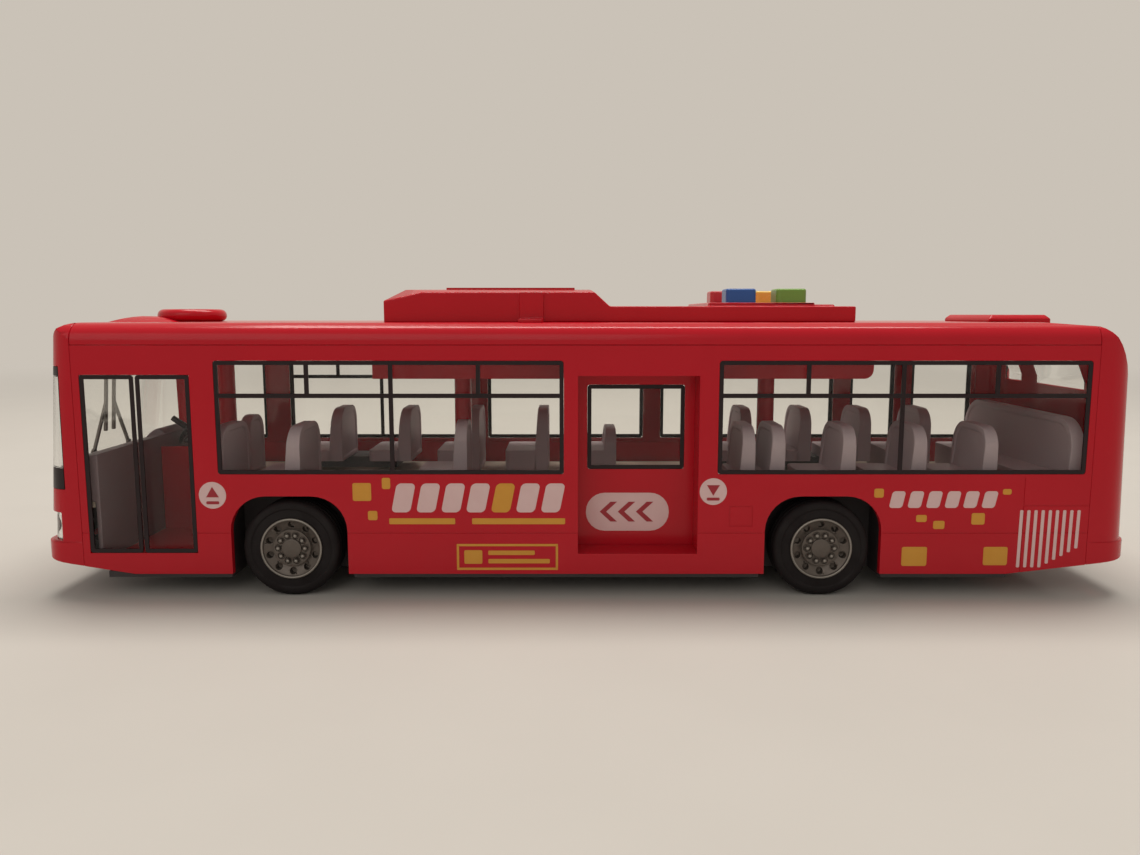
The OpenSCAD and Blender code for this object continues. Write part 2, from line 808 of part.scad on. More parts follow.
// Frame of black bars inside an opening
module bar_frame(x0, x1, z0, z1) difference() {
    window_rect(x0 + fit_clear, x1 - fit_clear, z0 + fit_clear, z1 - fit_clear);
    grown_rect(x0, x1, z0, z1, -bar_w);
}

module upright_bar(x, z0) rect(x - bar_w / 2, x + bar_w / 2, z0, head_z - bar_w / 2);

// Frame with a transom, a mullion and two bars in the top lights
module window_bars(x0, x1, mullion_share, toplight_shares) {
    bar_frame(x0, x1, sill_z, head_z);
    rect(x0 + bar_w / 2, x1 - bar_w / 2, transom_z - bar_w / 2, transom_z + bar_w / 2);
    upright_bar(x0 + (x1 - x0) * mullion_share, sill_z + bar_w / 2);
    for (s = toplight_shares) upright_bar(x0 + (x1 - x0) * s, transom_z);
}

module near_window_bars() color(black) slab_y(-half_w, -half_w + bar_t) {
    window_bars(front_win_x0, front_win_x1, front_mullion_share, front_toplight_shares);
    window_bars(rear_win_x0, rear_win_x1, rear_mullion_share, rear_toplight_shares);
    leaf_x = (front_door_x0 + front_door_x1) / 2;
    bar_frame(front_door_x0, leaf_x - leaf_gap / 2 + fit_clear, front_door_z0, front_door_z1);
    bar_frame(leaf_x + leaf_gap / 2 - fit_clear, front_door_x1, front_door_z0, front_door_z1);
}

module far_window_bars() color(black) slab_y(half_w - bar_t, half_w) {
    for (o = far_openings) bar_frame(o[0], o[1], sill_z, head_z);
    window_bars(far_openings[1][0], far_openings[1][1], front_mullion_share, front_toplight_shares);
}

// Jambs of the middle doorway with the door's upper and lower track behind them
module door_recess_frame() color(red) {
    slab_y(-side_in_y, -half_w + recess_d) difference() {
        rect(mid_door_x0 - jamb_t, mid_door_x1 + jamb_t, mid_door_z0 - jamb_t, mid_door_z1 + jamb_t);
        rect(mid_door_x0, mid_door_x1, mid_door_z0, mid_door_z1);
    }
    track_rail(door_z0 - slide_clear, -1);
    track_rail(door_z1 + slide_clear, 1);
}

// One rail of the track; side is -1 under the door and 1 over it
module track_rail(z, side) {
    z0 = side < 0 ? z - track_t : z;
    lip_z0 = side < 0 ? z - track_t : z - lip_h;
    lip_z1 = side < 0 ? z + lip_h : z + track_t;
    lip_y = door_y1 + slide_clear;
    block([track_x0, -side_in_y, z0], [track_x1, lip_y + lip_t, z0 + track_t]);
    block([track_x0, lip_y, lip_z0], [track_x1, lip_y + lip_t, lip_z1]);
    for (x = [track_x0, track_x1 - stop_w])
        block([x, door_y0, lip_z0], [x + stop_w, lip_y + lip_t, lip_z1]);
}

// Sliding door
door_win_x0 = mid_door_x0 + door_win_margin;
door_win_x1 = mid_door_x1 - door_win_margin;

module mid_door() color(red) slab_y(door_y0, door_y1) difference() {
    rect(mid_door_x0 - door_lap, mid_door_x1 + door_lap, door_z0, door_z1);
    window_rect(door_win_x0, door_win_x1, door_win_z0, door_win_z1);
}

module mid_door_window() color(clear) {
    y0 = door_y1 + pane_gap;
    slab_y(door_y0 + bar_t, y0 + door_pane_t)
        grown_rect(door_win_x0, door_win_x1, door_win_z0, door_win_z1, -fit_clear);
    slab_y(y0, y0 + door_pane_t)
        grown_rect(door_win_x0, door_win_x1, door_win_z0, door_win_z1, pane_lap);
}

module mid_door_bars() color(black) slab_y(door_y0, door_y0 + bar_t)
    bar_frame(door_win_x0, door_win_x1, door_win_z0, door_win_z1);

// Chassis pan with webs, wheel wells, axle bearings and screw bosses
// Rod across the bus about an axis at a station and a height
module cross_rod(p, r, h) translate([p.x, 0, p.y]) rotate([90, 0, 0]) cylinder(r = r, h = h, center = true);

module well(x, grow, y0, z0, z1) for (s = [0, 1]) mirror([0, s, 0]) block(
    [x - well_half - grow, y0, z0], [x + well_half + grow, plate_half + (grow > 0 ? 0 : over), z1]);

module chassis_base() color(black) difference() {
    union() {
        block([plate_x0, -plate_half, plate_z0], [plate_x1, plate_half, plate_z1]);
        block([front_door_x1, -web_out, plate_z0], [plate_x1, -web_in, deck_in_z]);
        block([plate_x0, web_in, plate_z0], [plate_x1, web_out, deck_in_z]);
        for (x = [front_axle_x, rear_axle_x]) well(x, well_wall, web_in, plate_z0, well_top_z);
        for (x = [post_front_x, post_mid_x])
            translate([x, 0, plate_z0]) cylinder(r = boss_r, h = deck_in_z - plate_z0);
    }
    for (x = [front_axle_x, rear_axle_x]) {
        well(x, 0, web_out, -over, well_in_z);
        cross_rod([x, axle_z], axle_r + run_clear, bus_w);
    }
    block([mid_door_x0, -web_out - over, plate_z1], [mid_door_x1, -web_in + over, deck_z]);
    for (x = [post_front_x, post_mid_x]) {
        translate([x, 0, -over]) cylinder(r = screw_r + fit_clear, h = deck_z + over);
        translate([x, 0, -over])
            cylinder(r = screw_head_r + slide_clear, h = deck_in_z - screw_bite + over);
    }
}

module screws() color(steel) {
    for (x = [post_front_x, post_mid_x]) body_screw(x, deck_in_z - screw_bite);
    translate([cover_x0 + cover_len - cover_screw_in, 0, 0]) cover_screw();
}

// Screw up through a chassis boss into a post, its head's lower face at z
module body_screw(x, z) {
    translate([x, 0, z - screw_head_h]) cylinder(r = screw_head_r, h = screw_head_h);
    translate([x, 0, z]) cylinder(r = screw_r - press_clear - fit_clear, h = screw_len);
}

// Screw that holds the battery cover, its head flush with the cover
cover_screw_in = 3.2;
cover_screw_r = 0.8;
cover_head_r = 1.6;
cover_head_h = 0.8;
cover_screw_len = 5;
cover_z1 = roof_z + pod_front_h + cover_proud;
cover_z0 = cover_z1 - cover_t;
module cover_screw() {
    translate([0, 0, cover_z1 - cover_head_h]) cylinder(r = cover_head_r, h = cover_head_h);
    translate([0, 0, cover_z1 - cover_screw_len]) cylinder(r = cover_screw_r, h = cover_screw_len);
}

// Cabin floor with its steps at both doors
module interior_deck() color(floor_grey) slab_z(deck_in_z, deck_z) difference() {
    rect(nose_seam_x, deck_x1, -deck_half, deck_half);
    rect(nose_seam_x + front_strip_w, front_door_x1, -deck_half - over, step_y);
    rect(track_x0 - slide_clear, track_x1 + slide_clear, -deck_half - over, -web_in);
    rect(mid_door_x0, mid_door_x1, -deck_half - over, -vestibule_y);
    for (x = [front_axle_x, rear_axle_x], s = [0, 1]) mirror([0, s])
        rect(x - well_half - well_wall - fit_clear, x + well_half + well_wall + fit_clear,
            web_in - fit_clear, deck_half + over);
    for (x = [post_front_x, post_mid_x]) translate([x, 0]) circle(r = boss_r + fit_clear);
}

// Seats stand on the floor, or on a wheel well where one is under them
function well_near(x) = min(abs(x - front_axle_x), abs(x - rear_axle_x));
function seat_foot(x) = well_near(x) < well_half + well_wall + seat_cushion_len ? well_top_z : deck_z;

module seat(x, y0, y1, z0, top_z = seat_top_z, cushion_len = seat_cushion_len) {
    r = seat_back_top_t / 2;
    slab_y(y0, y1) polygon(concat(
        [[x - cushion_len, z0], [x + seat_back_t, z0]],
        arc([x + seat_back_t - r, top_z - r], r, 0, 180),
        [[x, deck_z + seat_cushion_h], [x - cushion_len, deck_z + seat_cushion_h]]));
}

module far_seats() color(seat_grey) {
    for (i = [0:front_seat_count - 1]) let (x = front_seat_x + i * front_seat_pitch)
        seat(x, seat_y0, seat_y1, seat_foot(x), seat_top_z - (i == front_seat_count - 1 ? fold_seat_drop : 0));
    for (i = [0:rear_seat_count - 1]) let (x = rear_seat_x + i * rear_seat_pitch)
        seat(x, seat_y0, seat_y1, seat_foot(x));
}

// Seats of the door side, with a low screen in front of each wheel well
module near_seats() color(seat_grey) {
    for (i = near_front_seats) let (
        x = front_seat_x + i * front_seat_pitch, inner = x + seat_back_t > track_x0 - inner_clear)
        seat(x, inner ? -seat_slide_y1 : -seat_y1, inner ? -seat_slide_y0 : -seat_y0, seat_foot(x));
    for (i = [0:rear_seat_count - 1]) let (x = rear_seat_x + i * rear_seat_pitch)
        seat(x, -seat_y1, -seat_y0, seat_foot(x));
    for (x = [front_axle_x, rear_axle_x])
        seat(x - well_half - well_wall - seat_back_t - fit_clear, -seat_y1, -seat_y0, deck_z,
            seat_top_z, screen_foot);
}

module rear_bench() color(seat_grey)
    seat(deck_x1 - seat_back_t, -seat_y1, seat_y1, deck_z, seat_top_z + bench_rise);

// Dashboard across the nose, with a skirt beside the front door and a hood over the dials
dash_x0 = nose_seam_x + front_strip_w;
dash_x1 = dash_x0 + dash_skirt_t;
module dashboard() color(black) intersection() {
    tub(wall + inner_clear);
    union() {
        slab_y(-dash_half, dash_half) polygon([
            [dash_x1, deck_z], [dash_x1, dash_z1], [dash_x1 - dash_len, dash_z1 - dash_slope],
            [dash_x1 - dash_len, deck_z]]);
        block([dash_x0 + fit_clear, -dash_half, plate_z1], [dash_x1, step_y - fit_clear, deck_z + over]);
        slab_y(binnacle_y - binnacle_w / 2, binnacle_y + binnacle_w / 2) polygon(curve(
            [dash_x1, dash_z1 - over], [dash_x0, dash_z1 + 2 * binnacle_h],
            [dash_x0 - binnacle_len, dash_z1 - over]));
    }
}

module driver_seat() color(seat_grey)
    seat(driver_x, driver_y - driver_w / 2, driver_y + driver_w / 2, deck_z, seat_top_z - driver_drop);

// Steering wheel on a leaning column that stands on the dashboard's rear face
wheel_back = 4;
wheel_x = dash_x1 + wheel_back;
wheel_spokes = 3;
module steering_wheel() color(black)
    translate([wheel_x, driver_y, dash_z1]) rotate([0, -90 + wheel_tilt, 0]) {
        rotate_extrude() translate([wheel_ring_r, 0]) circle(r = wheel_ring_t);
        cylinder(r = wheel_hub_r, h = 2 * wheel_ring_t, center = true);
        for (i = [0:wheel_spokes - 1]) rotate([0, 0, i * 360 / wheel_spokes])
            block(-[0, wheel_ring_t, wheel_ring_t] / 2, [2 * wheel_ring_r, wheel_ring_t, wheel_ring_t] / 2);
        cylinder(r = wheel_column_r, h = column_len);
    }

// Round vent near the nose, with a low fairing in front of it that follows the nose's crown
module roof_vent() color(red) difference() {
    translate([vent_x, 0, roof_z]) vent_and_fairing();
    tub(0);
}
module vent_and_fairing() {
    crown_len = max(0, nose_face(roof_z - nose_top_r) + nose_top_r - vent_x + fairing_lead);
    drop = nose_top_r - sqrt(max(0, nose_top_r * nose_top_r - crown_len * crown_len));
    foot = -drop - fairing_sink;
    rotate_extrude() polygon(concat(
        [[0, 0], [vent_r - vent_round, 0]],
        arc([vent_r - vent_round, vent_h - vent_round], vent_round, -vent_turn, 90),
        [[vent_r - vent_rim_w, vent_h], [vent_r - vent_rim_w - vent_dish_d, vent_h - vent_dish_d],
        [0, vent_h - vent_dish_d]]));
    intersection() {
        slab_y(-fairing_half, fairing_half) polygon(concat([[0, foot]],
            curve([0, 0], [-fairing_lead * fairing_crown_share, 2 * fairing_h],
                [-fairing_lead, -drop - fairing_dip]),
            [[-fairing_lead, foot]]));
        slab_x(-fairing_lead, 0) polygon(concat([[fairing_half, foot]],
            curve([fairing_half, 0], [fairing_half - fairing_edge / 2, fairing_h],
                [fairing_half - fairing_edge, fairing_h]),
            curve([fairing_edge - fairing_half, fairing_h], [fairing_edge / 2 - fairing_half, fairing_h],
                [-fairing_half, 0]),
            [[-fairing_half, foot]]));
    }
}

// Hatch near the tail, with a sloped edge all round
function hatch_side(a, b) = [
    [a, -tail_ridge_drop], [b, -tail_ridge_drop], [b, hatch_h - hatch_edge],
    [b - hatch_edge, hatch_h], [a + hatch_edge, hatch_h], [a, hatch_h - hatch_edge]];
module roof_hatch() color(red) difference() {
    translate([0, 0, roof_z]) intersection() {
        slab_y(-hatch_w / 2, hatch_w / 2) polygon(hatch_side(hatch_x0, hatch_x0 + hatch_len));
        slab_x(hatch_x0 - over, hatch_x0 + hatch_len + over) polygon(hatch_side(-hatch_w / 2, hatch_w / 2));
    }
    tub(0);
}

// Side view of the roof pod, with its skin moved in
function pod_profile(in) = let (foot_z = roof_z - (in > 0 ? over : 0)) [
    [pod_x0 + in, foot_z], [pod_x0 + in, roof_z + pod_brow_h - in],
    [pod_x0 + pod_brow_len + in, roof_z + pod_front_h - in],
    [pod_x1 - pod_fall_len - in, roof_z + pod_front_h - in],
    [pod_x1 - in, roof_z + pod_rear_h - in], [pod_x2 - in, roof_z + pod_rear_h - in],
    [pod_x2 - in, foot_z]];

// Cross-section of the roof pod, with its skin moved in
function pod_section(in) = let (h = pod_half - in, t = roof_z + pod_front_h - in) [
    [-h, roof_z - over], [h, roof_z - over], [h, t - pod_edge_drop], [h - pod_edge_w, t],
    [-h + pod_edge_w, t], [-h, t - pod_edge_drop]];

module pod_volume(in) intersection() {
    slab_y(-pod_w, pod_w) polygon(pod_profile(in));
    slab_x(pod_x0 - over, pod_x2 + over) polygon(pod_section(in));
}

// Half space over the sloped facet at a front corner of the pod
module pod_facet() translate([pod_x0, -pod_half, roof_z + pod_brow_h]) rotate([0, 0, 180 + facet_turn])
    rotate([0, facet_tilt, 0]) block([-pod_w, -pod_w, 0], [pod_w, pod_w, pod_w]);

button_xs = [button_x0, button_x0 + button_pitch_x];
button_ys = [-button_pitch_y / 2, button_pitch_y / 2];
pad_x0 = button_x0 - button_w / 2 - pad_rim;
pad_x1 = button_x0 + button_pitch_x + button_w / 2 + pad_rim_back;
pad_edge = 1.2;
pad_half = pod_half - pad_edge;

module roof_pod() color(red) difference() {
    union() {
        difference() {
            pod_volume(0);
            for (s = [0, 1]) mirror([0, s, 0]) pod_facet();
            pod_volume(pod_wall);
        }
        block([pad_x0, -pad_half, pad_z - pad_h - pod_wall], [pad_x1, pad_half, pad_z]);
        block([pad_x1, -pad_half, pad_z - pad_h - pod_wall],
            [pad_x1 + pad_step_len, pad_half, pad_z - pad_step_h]);
        for (s = [0, 1]) mirror([0, s, 0]) {
            block([strap_x - strap_w / 2, -pod_half - strap_t, roof_z],
                [strap_x + strap_w / 2, -pod_half + pod_wall / 2, roof_z + pod_front_h - pod_edge_drop]);
            block([strap_x - strap_w / 2, -strap_reach, roof_z],
                [strap_x + strap_w / 2, -pod_half + pod_wall / 2, roof_z + strap_t]);
        }
        translate([cover_x0 + cover_len - cover_screw_in, 0, cover_z0 - cover_screw_len])
            cylinder(r = cover_head_r, h = cover_screw_len);
        block([cover_x0 + cover_len - cover_screw_in, -cover_screw_r, cover_z0 - cover_screw_len],
            [cover_x0 + cover_len + pod_wall, cover_screw_r, cover_z0]);
    }
    block([cover_x0 - fit_clear, -cover_w / 2 - fit_clear, cover_z0],
        [cover_x0 + cover_len + fit_clear, cover_w / 2 + fit_clear, roof_z + pod_front_h + over]);
    translate([cover_x0 + cover_len - cover_screw_in, 0, cover_z1 - cover_screw_len - fit_clear])
        cylinder(r = cover_screw_r + press_clear, h = cover_screw_len);
    for (x = button_xs, y = button_ys) translate([x, y, 0]) slab_z(roof_z, pad_z + over)
        square(button_w + 2 * button_hole_gap, center = true);
}

module battery_cover() color(red) difference() {
    block([cover_x0, -cover_w / 2, cover_z0], [cover_x0 + cover_len, cover_w / 2, cover_z1]);
    translate([cover_x0 + cover_len - cover_screw_in, 0, 0]) {
        translate([0, 0, cover_z1 - cover_head_h])
            cylinder(r = cover_head_r + fit_clear, h = cover_head_h + over);
        translate([0, 0, cover_z0 - over]) cylinder(r = cover_screw_r + fit_clear, h = cover_t + over);
    }
}

// Two cells side by side, one each way round
module battery_cells() color([0.25, 0.35, 0.30]) for (s = [0, 1])
    translate([cell_x0 + s * (cell_len + cell_nub_h), (1 - 2 * s) * (cell_r + cell_gap / 2), cell_z])
        rotate([0, s == 0 ? 90 : -90, 0]) {
            cylinder(r = cell_r, h = cell_len);
            cylinder(r = cell_nub_r, h = cell_len + cell_nub_h);
        }

// Side view of the tray under the roof, with its skin moved in
function tray_outline(in) = concat(
    [[tray_x0 + in, roof_in_z + (in > 0 ? over : 0)], [tray_x0 + in, tray_z0 + in]],
    arc([tray_x1 - tray_r, tray_z0 + tray_r], tray_r - in, 270, 360),
    [[tray_x1 - in, roof_in_z + (in > 0 ? over : 0)]]);

board_feet = [
    [board_x0 + standoff_in, -board_half + standoff_in], [board_x0 + standoff_in, board_half - standoff_in],
    [board_x0 + board_len - standoff_in, -board_half + standoff_in],
    [board_x0 + board_len - standoff_in, board_half - standoff_in]];

module module_tray() color(red) {
    difference() {
        slab_y(-tray_half, tray_half) polygon(tray_outline(0));
        slab_y(-tray_half + tray_wall, tray_half - tray_wall) polygon(tray_outline(tray_wall));
        translate([speaker_x, 0, tray_z0 - over]) {
            cylinder(r = grille_hole_r, h = tray_wall + 2 * over);
            for (i = [0:grille_count - 1]) rotate([0, 0, i * 360 / grille_count])
                translate([grille_ring_r, 0, 0]) cylinder(r = grille_hole_r, h = tray_wall + 2 * over);
        }
    }
    for (x = [cell_x0 + cradle_reach, cell_x0 + cell_len - cradle_reach - cradle_t]) difference() {
        block([x, -tray_half + tray_wall, tray_floor_z],
            [x + cradle_t, tray_half - tray_wall, cell_z - cell_r / 2]);
        for (s = [-1, 1]) translate([x - over, s * (cell_r + cell_gap / 2), cell_z]) rotate([0, 90, 0])
            cylinder(r = cell_r + fit_clear, h = cradle_t + 2 * over);
    }
    for (p = board_feet) translate([p.x, p.y, tray_floor_z])
        cylinder(r = standoff_r, h = board_z0 - tray_floor_z);
    screw_post(post_mid_x, tray_z0 + tray_wall / 2);
    translate([post_rear_x, 0, deck_z]) cylinder(r = post_r, h = tray_z0 + tray_wall / 2 - deck_z);
}

module circuit_board() color([0.15, 0.40, 0.22])
    block([board_x0, -board_half, board_z0], [board_x0 + board_len, board_half, board_z1]);

module speaker() color(black) translate([speaker_x, 0, tray_floor_z]) {
    cylinder(r = speaker_r, h = speaker_rim_h);
    cylinder(r1 = speaker_r - speaker_rim_h, r2 = speaker_magnet_r, h = speaker_h - speaker_rim_h);
    cylinder(r = speaker_magnet_r, h = speaker_h);
}

// Rubber dome under a button
module dome(x, y) translate([x, y, board_z1]) difference() {
    cylinder(r = dome_r, h = flange_z0 - board_z1);
    translate([0, 0, -over]) cylinder(r = dome_r - dome_wall, h = flange_z0 - board_z1 - dome_wall + over);
}

// Push button: a square cap with round corners over a flange that stops under the pad
module button(x, y) translate([x, y, 0]) {
    half = button_w / 2;
    slab_z(flange_z0, pad_z + button_h) polygon(rounded([-half, -half], [half, half], button_r));
    slab_z(flange_z0, flange_z1) square(button_w + 2 * flange_w, center = true);
}

module dome_red() color(white) dome(button_xs[0], button_ys[1]);
module dome_yellow() color(white) dome(button_xs[1], button_ys[1]);
module dome_blue() color(white) dome(button_xs[0], button_ys[0]);
module dome_green() color(white) dome(button_xs[1], button_ys[0]);
module button_red() color([0.80, 0.15, 0.18]) button(button_xs[0], button_ys[1]);
module button_yellow() color([0.95, 0.68, 0.15]) button(button_xs[1], button_ys[1]);
module button_blue() color([0.13, 0.35, 0.66]) button(button_xs[0], button_ys[0]);
module button_green() color([0.35, 0.62, 0.22]) button(button_xs[1], button_ys[0]);

// Rim about the local Z axis, its outer face at zero and the rest below it
module rim() difference() {
    union() {
        rotate_extrude() polygon([
            [axle_r + press_clear, -tyre_w + rim_back], [axle_r + press_clear, -dish_d],
            [0, -dish_d], [0, 0], [cap_r, -rim_lip / 2], [cap_r, -hub_d], [flange_r, -hub_d],
            [flange_r, -dish_d], [rim_r - rim_ring_t, -rim_lip], [rim_r - rim_ring_t, 0], [rim_r, 0],
            [rim_r, -tyre_w + rim_back],
            [rim_r - rim_barrel_t, -tyre_w + rim_back], [rim_r - rim_barrel_t, -2 * dish_d - rim_back],
            [rim_hub_r, -2 * dish_d - rim_back], [rim_hub_r, -tyre_w + rim_back]]);
        for (i = [0:nut_count - 1]) rotate([0, 0, i * 360 / nut_count]) translate([nut_ring_r, 0, -dish_d])
            cylinder(r = wheel_nut_r, h = dish_d - hub_d + nut_h);
    }
    for (i = [0:nut_count - 1]) rotate([0, 0, i * 360 / nut_count]) {
        rotate([0, 0, 180 / nut_count]) translate([vent_ring_r, 0, -dish_d - vent_hole_d])
            cylinder(r = vent_hole_r, h = dish_d + vent_hole_d + over);
        translate([nut_ring_r, 0, -hub_d - nut_well_d]) difference() {
            cylinder(r = nut_well_r, h = nut_well_d + over);
            cylinder(r = wheel_nut_r, h = nut_well_d + over);
        }
    }
}

// Tyre about the local Z axis, its outer face at zero and the rest below it
function tyre_outline() = let (
    r0 = rim_r + press_clear, q = shoulder_r, step_r = rim_r + (tyre_r - rim_r) * sidewall_share)
    concat([[r0, -tyre_w], [tyre_r - q, -tyre_w]], arc([tyre_r - q, -tyre_w + q], q, 270, 360),
        arc([tyre_r - q, -q], q, 0, 90),
        [[step_r, 0], [step_r - sidewall_step, -sidewall_step], [r0, -sidewall_step]]);
module tyre() rotate_extrude($fn = 96) difference() {
    polygon(tyre_outline());
    for (i = [1:tread_grooves])
        translate([tyre_r - groove_d, -tyre_w * i / (tread_grooves + 1) - groove_w / 2])
            square([groove_d + over, groove_w]);
}

// Places a wheel piece on an axle; side is -1 on the near side and 1 on the far side
module on_axle(x, side) translate([x, side * (half_w - tyre_inset), axle_z])
    rotate([-side * 90, 0, 0]) children();

module shaft(x) cross_rod([x, axle_z], axle_r, 2 * (half_w - tyre_inset - dish_d - press_clear));

module front_axle_shaft() color(steel) shaft(front_axle_x);
module rear_axle_shaft() color(steel) shaft(rear_axle_x);
module front_rim_near() color(rim_grey) on_axle(front_axle_x, -1) rim();
module front_rim_far() color(rim_grey) on_axle(front_axle_x, 1) rim();
module rear_rim_near() color(rim_grey) on_axle(rear_axle_x, -1) rim();
module rear_rim_far() color(rim_grey) on_axle(rear_axle_x, 1) rim();
module front_tyre_near() color(black) on_axle(front_axle_x, -1) tyre();
module front_tyre_far() color(black) on_axle(front_axle_x, 1) tyre();
module rear_tyre_near() color(black) on_axle(rear_axle_x, -1) tyre();
module rear_tyre_far() color(black) on_axle(rear_axle_x, 1) tyre();

// Involute gear outline with a tooth on the +X axis
function inv_angle(rb, r) = r <= rb ? 0 : tan(acos(rb / r)) * 180 / PI - acos(rb / r);
function gear_outline(n) = let (
    rp = gear_module * n / 2, rb = rp * cos(pressure_angle), ra = rp + gear_module * addendum_share,
    rr = rp - gear_module * dedendum_share, r0 = max(rb, rr),
    half = 90 / n - backlash / 4 / rp * 180 / PI + inv_angle(rb, rp),
    flank = [for (k = [0:flank_n]) let (r = r0 + (ra - r0) * k / flank_n) [r, half - inv_angle(rb, r)]])
    [for (i = [0:n - 1]) let (a = 360 * i / n) each concat(
        [polar(rr, a - half)], [for (p = flank) polar(p[0], a - p[1])],
        [for (k = [flank_n:-1:0]) polar(flank[k][0], a + flank[k][1])], [polar(rr, a + half)])];

// Gear in the drive train; a meshing gear turns half a tooth
module train_gear(p, y0, w, n, half_tooth) translate([p.x, 0, p.y]) slab_y(y0, y0 + w)
    rotate(-train_tilt + (half_tooth ? 180 / n : 0)) polygon(gear_outline(n));

module arbor(p) cross_rod(p, arbor_r, 2 * (motor_half - motor_wall + arbor_reach));

module axle_gear() color(white) difference() {
    train_gear([rear_axle_x, axle_z], gear_y0, gear_w, big_teeth, false);
    cross_rod([rear_axle_x, axle_z], axle_r + press_clear, bus_w);
}

module idler_gear() color(white) {
    train_gear(idler_pos, gear_y0, second_y0 - gear_y0 + over, small_teeth, true);
    train_gear(idler_pos, second_y0, gear_w, big_teeth, false);
    arbor(idler_pos);
}

module flywheel() color(steel) {
    train_gear(flywheel_pos, second_y0, flywheel_y0 - second_y0 + over, small_teeth, true);
    translate([0, flywheel_y0 + flywheel_w / 2, 0]) cross_rod(flywheel_pos, flywheel_r, flywheel_w);
    arbor(flywheel_pos);
}

// Cover over the drive, open below, with bearings for the two arbors and the axle
module motor_housing() color(white) difference() {
    block([motor_x0, -motor_half, plate_z1], [motor_x1, motor_half, motor_top_z]);
    block([motor_x0 + motor_wall, -motor_half + motor_wall, plate_z1 - over],
        [motor_x1 - motor_wall, motor_half - motor_wall, motor_top_z - motor_wall]);
    cross_rod([rear_axle_x, axle_z], axle_r + run_clear, bus_w);
    for (p = [idler_pos, flywheel_pos]) cross_rod(p, arbor_r + run_clear, bus_w);
}

// Wiper blades upright on the windscreen, each on an arm from its pivot
module wiper(y, pivot_y) {
    block([-wiper_t, y - wiper_w / 2, blade_z0], [0, y + wiper_w / 2, blade_z0 + blade_len]);
    turn = atan2(y - pivot_y, blade_z0 + blade_len / 2 - pivot_z);
    translate([0, pivot_y, pivot_z]) {
        rotate([0, -90, 0]) cylinder(r = pivot_r, h = wiper_t);
        rotate([-turn, 0, 0]) block([-wiper_t, -wiper_w / 2, 0],
            [0, wiper_w / 2, (blade_z0 + blade_len / 2 - pivot_z) / cos(turn)]);
    }
}
module wipers() color(black) translate([nose_face(bumper_z1) - wiper_gap, 0, bumper_z1])
    rotate([0, nose_lean, 0]) translate([0, 0, -bumper_z1])
        for (i = [0, 1]) wiper(blade_ys[i], pivot_ys[i]);

chassis_base();
near_side_panel();
far_side_panel();
roof_shell();
front_cap();
rear_cap();
door_recess_frame();
near_front_window();
near_rear_window();
far_windows();
windscreen();
rear_windows();
front_door();
near_window_bars();
far_window_bars();
windscreen_bands();
headlamp_lenses();
tail_lamp_lenses();
wipers();
interior_deck();
near_seats();
far_seats();
rear_bench();
dashboard();
driver_seat();
steering_wheel();
roof_vent();
roof_hatch();
roof_pod();
battery_cover();
battery_cells();
module_tray();
circuit_board();
speaker();
dome_red();
dome_yellow();
dome_blue();
dome_green();
screws();
motor_housing();
front_axle_shaft();
front_rim_near();
front_rim_far();
front_tyre_near();
front_tyre_far();
rear_axle_shaft();
rear_rim_near();
rear_rim_far();
rear_tyre_near();
rear_tyre_far();
axle_gear();
idler_gear();
flywheel();
mid_door();
mid_door_window();
mid_door_bars();
button_red();
button_yellow();
button_blue();
button_green();
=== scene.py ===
import math

import bmesh
import bpy
from mathutils import Matrix, Vector


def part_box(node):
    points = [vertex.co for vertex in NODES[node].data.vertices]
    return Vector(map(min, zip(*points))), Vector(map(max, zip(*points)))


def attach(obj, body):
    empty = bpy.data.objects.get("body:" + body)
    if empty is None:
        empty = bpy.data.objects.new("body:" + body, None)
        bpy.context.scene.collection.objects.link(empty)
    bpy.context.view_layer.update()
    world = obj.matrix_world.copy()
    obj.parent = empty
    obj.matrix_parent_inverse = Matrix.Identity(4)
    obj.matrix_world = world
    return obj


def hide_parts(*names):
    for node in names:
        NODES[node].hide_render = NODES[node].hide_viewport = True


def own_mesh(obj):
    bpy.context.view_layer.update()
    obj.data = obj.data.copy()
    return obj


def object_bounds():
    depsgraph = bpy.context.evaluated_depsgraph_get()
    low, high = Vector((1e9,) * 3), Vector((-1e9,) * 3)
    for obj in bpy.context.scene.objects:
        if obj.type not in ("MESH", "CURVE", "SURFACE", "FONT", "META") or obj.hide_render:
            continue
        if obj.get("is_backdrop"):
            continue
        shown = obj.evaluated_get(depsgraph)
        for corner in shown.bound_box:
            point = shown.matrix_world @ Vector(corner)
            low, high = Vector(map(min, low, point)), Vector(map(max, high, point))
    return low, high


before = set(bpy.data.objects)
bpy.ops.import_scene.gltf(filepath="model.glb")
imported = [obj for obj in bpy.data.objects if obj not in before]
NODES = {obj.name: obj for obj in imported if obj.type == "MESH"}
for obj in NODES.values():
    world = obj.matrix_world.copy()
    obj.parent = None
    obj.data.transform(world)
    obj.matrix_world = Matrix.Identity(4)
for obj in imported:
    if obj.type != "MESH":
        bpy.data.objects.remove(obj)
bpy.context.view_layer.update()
MM = 0.001
UM = 0.001 * MM

# Camera: lens, place and tilt are those at which the side's stations fall where the photograph has them
PHOTO_W_PX = 1140
FOCAL_PX = 885
SENSOR_MM = 36
CAMERA_PLACE_MM = (-4.6, -266.5, 75.4)
CAMERA_TILT = math.radians(7.31)
NEAREST_M = 0.01
FARTHEST_M = 30

